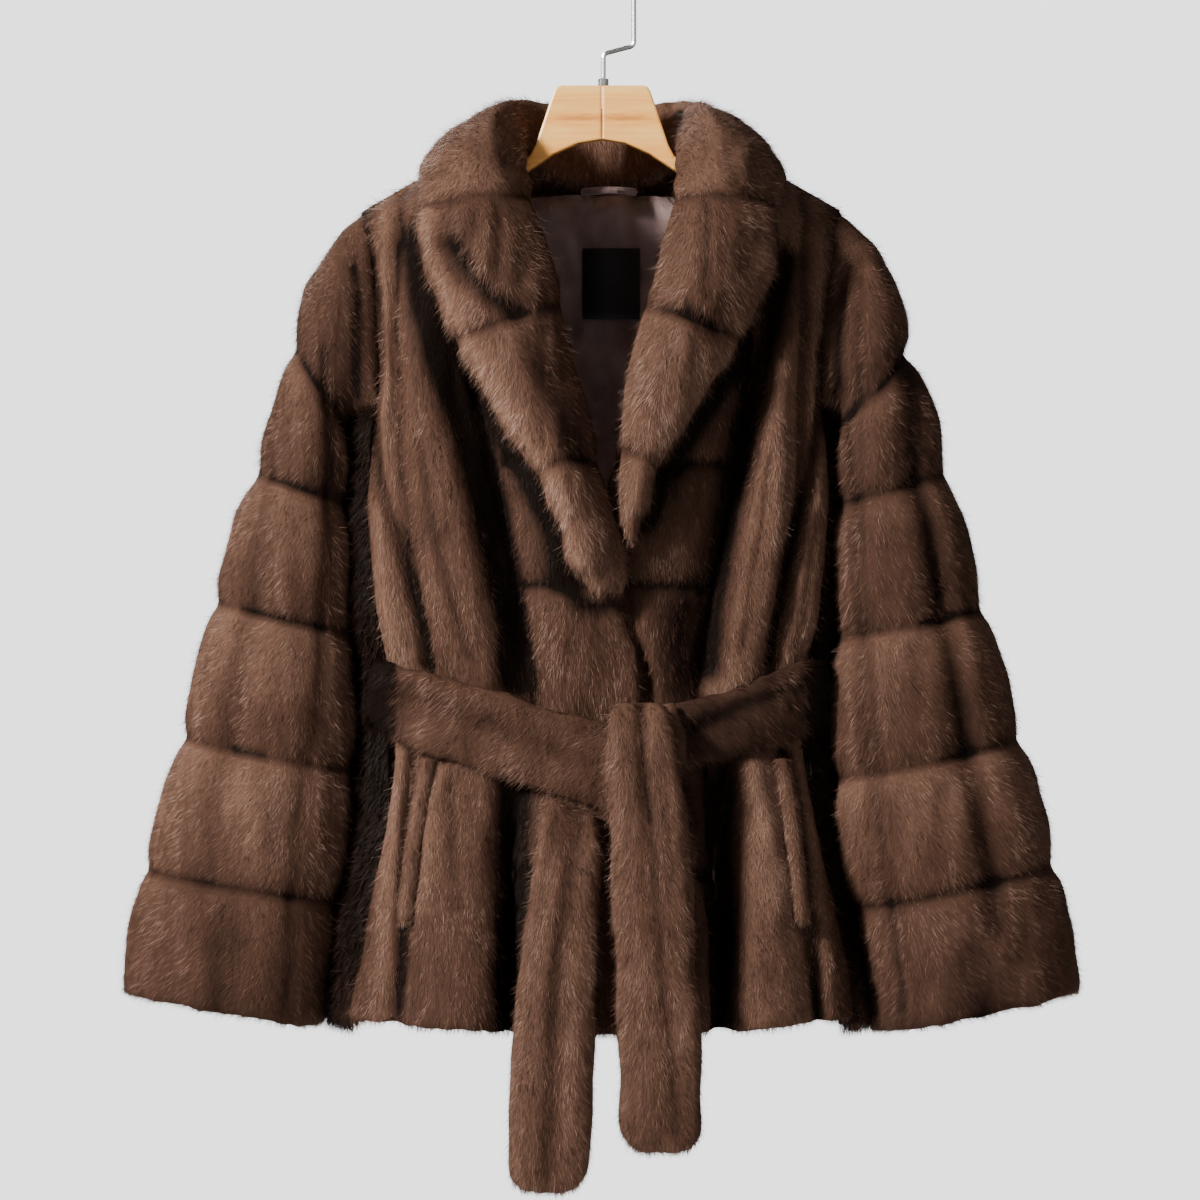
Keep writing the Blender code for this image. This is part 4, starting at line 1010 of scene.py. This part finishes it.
def tail_streaks(points):
    return np.abs(off_tail_middle(points)) + 0.4 * points[:, 2]


brushed_belt = Brushed(belt_flow, belt_streaks)
brushed_tail = Brushed(tail_flow, tail_streaks)


# %% [markdown]
# ## Tone
# Light and dark change from pelt to pelt and in soft clouds. Short dark slits
# show where the hair parts over the backing; their darkness is painted shade. The
# hair also gets painted shade in the folds and beside the seams, and a painted
# highlight on some ridges.

# %% Tone
CLOUDS = (0.06, 1, 110), (0.08, LONG_WAYS, 24), (0.08, LONG_WAYS, 7)  # amount, stretch, mm


def tone_of(points, pelt, seam, seed, level, creases):
    draw = np.random.default_rng(seed)
    shift = draw.uniform(-0.05, 0.05, pelt.max() + 1)
    tone = level + shift[pelt]
    for number, (amount, ways, size) in enumerate(CLOUDS, 1):
        tone += amount * soft_noise(points * ways, size * MM, seed + number)
    # Painted shade in the creases and painted highlights on ridges
    tone -= crease_sum(points, creases, "dark")
    # Painted shadow beside the seams, uneven along them
    uneven = 1 + 0.5 * soft_noise(points, 18 * MM, seed + 4)
    return tone - SEAM_PAINTED_SHADOW * uneven * bell(seam, SEAM_REACH)


# %% Slits
SLIT_SPACING_CM2 = 6.0    # one in so much fur
SLIT_REACH = 1.6 * MM
# Painted shade in a parting, where the hair is also shorter and turns aside
SLIT_PAINTED_SHADE = 0.75


def slits(roots, flow, length, area_cm2, draw):
    """How near each hair passes a short parting, and the way off it."""
    count = max(int(area_cm2 / SLIT_SPACING_CM2), 1)
    chosen = draw.choice(len(roots), count, replace=False)
    run = draw.uniform(1, 4, count)[:, None] * MM
    marks = np.concatenate([roots[chosen] + flow[chosen] * run * part
                            for part in (-1, -0.5, 0, 0.5, 1)])
    near, off = np.zeros(len(roots)), np.zeros(roots.shape)
    for part in (0.25, 0.75):
        spots = roots + flow * length * part
        index, away = nearest(spots, marks)
        here = bell(away, SLIT_REACH)
        closer = here > near
        near[closer] = here[closer]
        off[closer] = (spots - marks[index])[closer]
    return near, unit(beside(off, flow))


# %% Furnishing a piece
def furnish(cloth, furred, brushed, per_cm2, seed, shade, length=7.2, width=0.34, level=0.5,
            favour=None, lean=17, hem_trim=-0.35, creases=()):
    """Grows the pile of one cloth piece and names it after the piece."""
    draw = np.random.default_rng(seed)
    roots, outs, pelt = plant(cloth, furred, per_cm2, draw, favour)
    flow = brushed.flow(roots)
    seam = nearest(roots, seam_points(cloth.data))[1]
    tone = tone_of(roots, pelt, seam, seed, level, creases) + shade(roots, pelt)
    near, off = slits(roots, flow, length * MM, len(roots) / per_cm2, draw)
    flow = unit(flow + off * near[:, None] * 0.5)
    # Painted shade in the partings
    tone -= SLIT_PAINTED_SHADE * near
    rim = nearest(roots, rim_points(cloth.data))[1]
    trim = 0.65 + 0.35 * ease(seam, 0, TRIM_OVER)
    trim *= 1 - hem_trim * (roots[:, 2] < HEMS_UNDER) * np.clip(1 - rim / TRIM_OVER, 0, 1)
    long = length * MM * (1 - 0.4 * near) * trim
    pile = grow(f"{cloth.name}_pile", roots, outs, flow, long, tone, width * MM, draw, lean)
    print(pile.name, "hairs:", len(roots), "triangles:", len(pile.data.polygons))
    return pile


# %% [markdown]
# ## Attaching each piece
# Every cloth piece rides on the jacket's one body and stands for its CAD nodes,
# which are hidden. Its flat size is printed beside its area of cloth; half of a
# closed wall's surface is the area of cloth in it.

# %% Declaring
def declare(obj, parts):
    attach(obj, "root")
    if parts:
        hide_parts(*parts)


def declare_sheet(cloth, parts, flat):
    declare(cloth, parts)
    half = sum(face.area for face in cloth.data.polygons) / 2
    print(cloth.name, "flat", flat, "cloth area", round(half, 4), "of", round(flat[0] * flat[1], 4))


# %% A piece of fur
def fur_piece(name, parts, outside, brushed, flat, held, rests_on, per_cm2, seed, levels=2,
              pinch=2.5, swell=1.5, waver=1.0, long_edge=None, creases=(), shape_more=None,
              tones=(0,), part_at=None, tucked=False, **pile_sizes):
    """A cloth piece of fur with its pile, declared; tones are by pelt, the last goes on."""
    cloth = cloth_copy(name, parts, levels, long_edge)
    furred = furred_faces(cloth.data, outside)
    cover(cloth, furred)

    # Pelt tones, with the painted light and shade of part_at
    def shade(points, pelt):
        dark = np.array(tones)[np.minimum(pelt, len(tones) - 1)]
        return dark if part_at is None else dark + part_at(points, pelt)

    shape_cloth(cloth, furred, outside, pinch * MM, swell * MM, waver * MM, tucked, seed,
                creases, brushed.streaks, shade)
    if shape_more is not None:
        shape_more(cloth)
    pile = furnish(cloth, furred, brushed, per_cm2, seed, shade, creases=creases, **pile_sizes)
    declare(pile, ())
    declare_sheet(cloth, parts, flat)


# %% [markdown]
# ## The body
# Each front is three lanes: a narrow strip and a panel worked downwards, and a
# centre worked across in five pelts. The back is three lanes, and a plain panel
# joins front and back under each arm. What shows from the front gets more hair.

# %% Helpers for the body
HANGER = ("hanger_right", "hanger_left")


def centres(hand):
    return tuple(f"front_centre_{hand}_{k}" for k in range(1, 6))


def front_painted_shade(roots, pelt):
    """Painted shade where the front turns to the side, and a little darker towards the hem."""
    low = ease(-roots[:, 2], 0.66, 0.10)
    return -0.45 * ease(np.abs(roots[:, 0]), 0.163, 0.014) * (1 - 0.6 * low) - 0.07 * low


def side_painted_shadow(roots, pelt):
    """Painted shadow: the pile under the arm is darker towards the front, where the sleeve shades
    it.
    """
    low = ease(-roots[:, 2], 0.70, 0.10)
    return (-0.45 + 0.15 * low) * ease(-roots[:, 1], -0.03, 0.03)


def move_sideways(cloth, amount):
    """Moves each point of a cloth away from the middle by the amount at that point."""
    points = vertex_array(cloth.data)
    x, y, z = points.T
    points[:, 0] += np.sign(x) * amount(np.abs(x), y, z)
    set_vertices(cloth.data, points)


WAIST_FILL = 7 * MM
EDGE_OUT = 5 * MM         # how far the edges of the fronts stand out above the belt


def edge_out(x, y, z):
    return (EDGE_OUT * ease(x, 0.130, 0.025) * ease(-y, 0.015, 0.020)
            * ease(-z, 0.33, 0.08) * ease(z, -0.535, 0.04))


def shape_side(cloth):
    """The pile under the arm follows the front, and fills the hollow the belt draws in."""
    def amount(x, y, z):
        near = bell(z + 0.585, 0.045) + 0.4 * bell(z + 0.50, 0.03)
        return WAIST_FILL * near * (x > 0.150) + edge_out(x, y, z)
    move_sideways(cloth, amount)


# %% Sewing the body
SIDE_CUT = {"right": (0.125, 0.46), "left": (0.110, 0.46)}
FRONT_TONES = {"right": (0.13, -0.04, -0.08, -0.09, -0.08, -0.09, -0.10),
               "left": (0.10, 0.11, -0.05, -0.08, -0.10, -0.18, -0.22)}
SLEEVE_TONES = {"right": (-0.12, -0.05, -0.01, 0.01, 0.02, -0.09),
                "left": (-0.06, -0.05, -0.07, -0.02, 0.01, -0.09)}

for seed, hand, creases in ((100, "right", FRONT_RIGHT_CREASES),
                            (120, "left", FRONT_LEFT_CREASES)):
    fur_piece(f"front_{hand}", (f"front_strip_{hand}", f"front_panel_{hand}") + centres(hand),
              out_of_body, brushed_body, (0.27, 0.70), "hung", HANGER, 64, seed,
              long_edge=24 * MM, creases=creases, tones=FRONT_TONES[hand], part_at=front_painted_shade,
              shape_more=lambda cloth: move_sideways(cloth, edge_out))
    fur_piece(f"side_{hand}", (f"side_panel_{hand}",), out_of_body, brushed_body,
              SIDE_CUT[hand], "hung", (f"front_{hand}",), 48, seed + 5, levels=1, width=0.6,
              length=11, level=0.36, lean=32, swell=8.5, part_at=side_painted_shadow, hem_trim=0.85,
              tucked=True, shape_more=shape_side)
fur_piece("back", ("back_side_right", "back_centre", "back_side_left"), out_of_body, brushed_body,
          (0.46, 0.70), "hung", HANGER, 27, 140, width=0.7, length=11, creases=BACK_CREASES)

# %% [markdown]
# ## The sleeves
# A sleeve is a tube of six bands, each sewn from pelts side by side. It widens
# towards the cuff and hangs from the armhole.


# %% Sleeves
def seen_from_front(outs):
    """More hair where a piece faces the front than where it faces back."""
    return np.where(outs[:, 1] < 0.25, 1.0, 0.5)


def band_painted_light_and_shade(roots, pelt):
    """Painted light and shade: each band is lighter at its top, where it swells, than at its foot.
    """
    shade = np.zeros(len(roots))
    for band in range(pelt.max() + 1):
        mine = pelt == band
        x, y, z = roots[mine].T
        slope = np.polyfit(np.abs(x), z, 1)[0] * 0.25       # its seams rise outwards
        level = z - slope * np.abs(x)
        low, high = np.quantile(level, (0.02, 0.98))
        shade[mine] = 0.16 * ((level - low) / (high - low) - 0.55)
    return shade


SLEEVE_IN = {"right": 4 * MM, "left": 10 * MM}      # how near the body its front hangs


def hang_near(hand):
    """The front of a sleeve hangs nearer to the body below the armhole."""
    def amount(x, y, z):
        return (-SLEEVE_IN[hand] * ease(-x, -0.228, 0.035) * ease(-y, -0.010, 0.045)
                * ease(-z, 0.325, 0.03) * ease(z, -0.76, 0.06))
    return lambda cloth: move_sideways(cloth, amount)


for seed, hand, creases in ((160, "right", SLEEVE_RIGHT_CREASES),
                            (180, "left", SLEEVE_LEFT_CREASES)):
    fur_piece(f"sleeve_{hand}", tuple(f"sleeve_{hand}_{k}" for k in range(1, 7)),
              out_of_sleeve(hand), brushed_sleeve(hand), (0.43, 0.60), "hung",
              (f"front_{hand}",), 57, seed, favour=seen_from_front, pinch=1.5, swell=3.0,
              long_edge=24 * MM, creases=creases, tones=SLEEVE_TONES[hand],
              part_at=band_painted_light_and_shade, shape_more=hang_near(hand))

# %% [markdown]
# ## The shawl collar
# The collar is fur on both sides, turned over at its crest. It runs from the
# back of the neck into two lapels, each pieced from three pelts.

# %% Collar
fur_piece("collar", ("collar_back",) + tuple(f"lapel_{hand}_{k}" for hand in ("right", "left")
                                              for k in (1, 2, 3)),
          out_of_all, brushed_collar, (0.12, 1.10), "folded", ("front_right", "front_left"),
          55, 200, length=8.5, level=0.52, long_edge=24 * MM,
          pinch=1.0, tones=(0.03, -0.07, -0.03, -0.01, -0.05, 0.03, 0.02),
          creases=COLLAR_CREASES)

# %% [markdown]
# ## Belt, knot and tails
# The belt is a folded strip with fur all round. One end wraps over the other at
# the knot, and both ends hang down as tails. A flat size here is half of the way
# round by the length.

# %% Belt
fur_piece("belt_band", ("belt_right", "belt_left", "belt_back"), out_of_all, brushed_belt,
          (0.064, 0.92), "folded", ("front_right", "front_left", "back"), 54, 220,
          length=8, pinch=0.5, swell=0.5, creases=BELT_CREASES,
          tones=(-0.08, -0.22, -0.10), waver=1.6, part_at=belt_painted_shade)
fur_piece("belt_wrap", ("belt_knot",), out_of_all, brushed_tail, (0.034, 0.06), "folded",
          ("belt_band",), 100, 240, length=7, pinch=0.0, swell=0.0, level=0.4)
for name, part, flat, seed, swell, level in (
        ("tail_over", "belt_tail_front", (0.070, 0.33), 250, 1.5, 0.44),
        ("tail_behind", "belt_tail_under", (0.066, 0.285), 260, 1.0, 0.46)):
    fur_piece(name, (part,), out_of_all, brushed_tail, flat, "hung", ("belt_wrap",), 90, seed,
              pinch=0.0, swell=swell, level=level, creases=TAIL_CREASES)

# %% Pocket lips
for seed, hand in ((270, "right"), (280, "left")):
    fur_piece(f"lip_{hand}", (f"pocket_lip_{hand}",), out_of_body, brushed_body, (0.022, 0.125),
              "laid", (f"front_{hand}",), 130, seed, levels=1, length=6, pinch=0.0, swell=2.5,
              waver=0.3, level=0.56, lean=18)

# %% [markdown]
# ## Lining, label and hang loop
# Inside the neck the satin lining shows, with a plain label and a satin loop. The
# lining is a thin sheet that only needs smoothing; soft slanting folds are moved
# into it.

# %% Lining
LINING_RAISE = 11 * MM
FOLD_DEPTH = 2.6 * MM
lining = cloth_copy("lining", ("lining_back",), 2)
points = vertex_array(lining.data)
points[:, 2] += LINING_RAISE * ease(points[:, 2], -0.215, 0.02)
slant = points[:, 0] + 0.55 * points[:, 2]
folds = np.sin(slant * 2 * math.pi / 0.031) + 0.6 * np.sin(slant * 2 * math.pi / 0.019 + 1)
label_low, label_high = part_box("label")
reach = np.maximum(np.array(label_low) - points, points - np.array(label_high))[:, (0, 2)].max(1)
free = ease(reach, 0, 14 * MM) * ease(-np.abs(points[:, 0]), -0.16, 0.08)
points[:, 1] -= FOLD_DEPTH * folds * free
set_vertices(lining.data, points)
lining.data.materials.append(satin)
declare_sheet(lining, ("lining_back",), (0.34, 0.62))
label_piece = cloth_copy("bare_label", ("label",), 1)
label_piece.data.materials.append(label_cloth)
declare_sheet(label_piece, ("label",), (0.046, 0.056))

# %% Carried-over parts
for part, finish in (("hanger_right", wood), ("hanger_left", wood), ("hook", steel),
                     ("hook_nut", steel), ("hang_loop", satin)):
    for material_slot in nodes[part].material_slots:
        material_slot.material = finish
print("carried over: hanger, hook and loop")

# %% [markdown]
# ## The floor
# A pale disc lies well below the jacket, out of the view of the camera.

# %% Floor
FLOOR_Z = -1.3
bpy.ops.mesh.primitive_circle_add(vertices=64, radius=1.2, fill_type="NGON",
                                  location=(0, 0, FLOOR_Z))
floor = bpy.context.object
floor.name = "floor"
paint, tree, shader = start_material("pale_floor", Roughness=0.6)
cloudy_colour(tree, shader, [(0.3, 0.74, 0.74, 0.74), (0.7, 0.80, 0.80, 0.80)],
              Scale=3.0, Detail=2.0)
floor.data.materials.append(paint)
floor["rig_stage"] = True

# %% Sizes and finish
added = {o.name: sum(len(face.vertices) - 2 for face in o.data.polygons)
         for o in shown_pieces() if "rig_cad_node" not in o}
print("triangles made here:", sum(added.values()), "most in one piece:", max(added.values()))
print("triangles in cloth:", {name: n for name, n in added.items() if not name.endswith("_pile")})
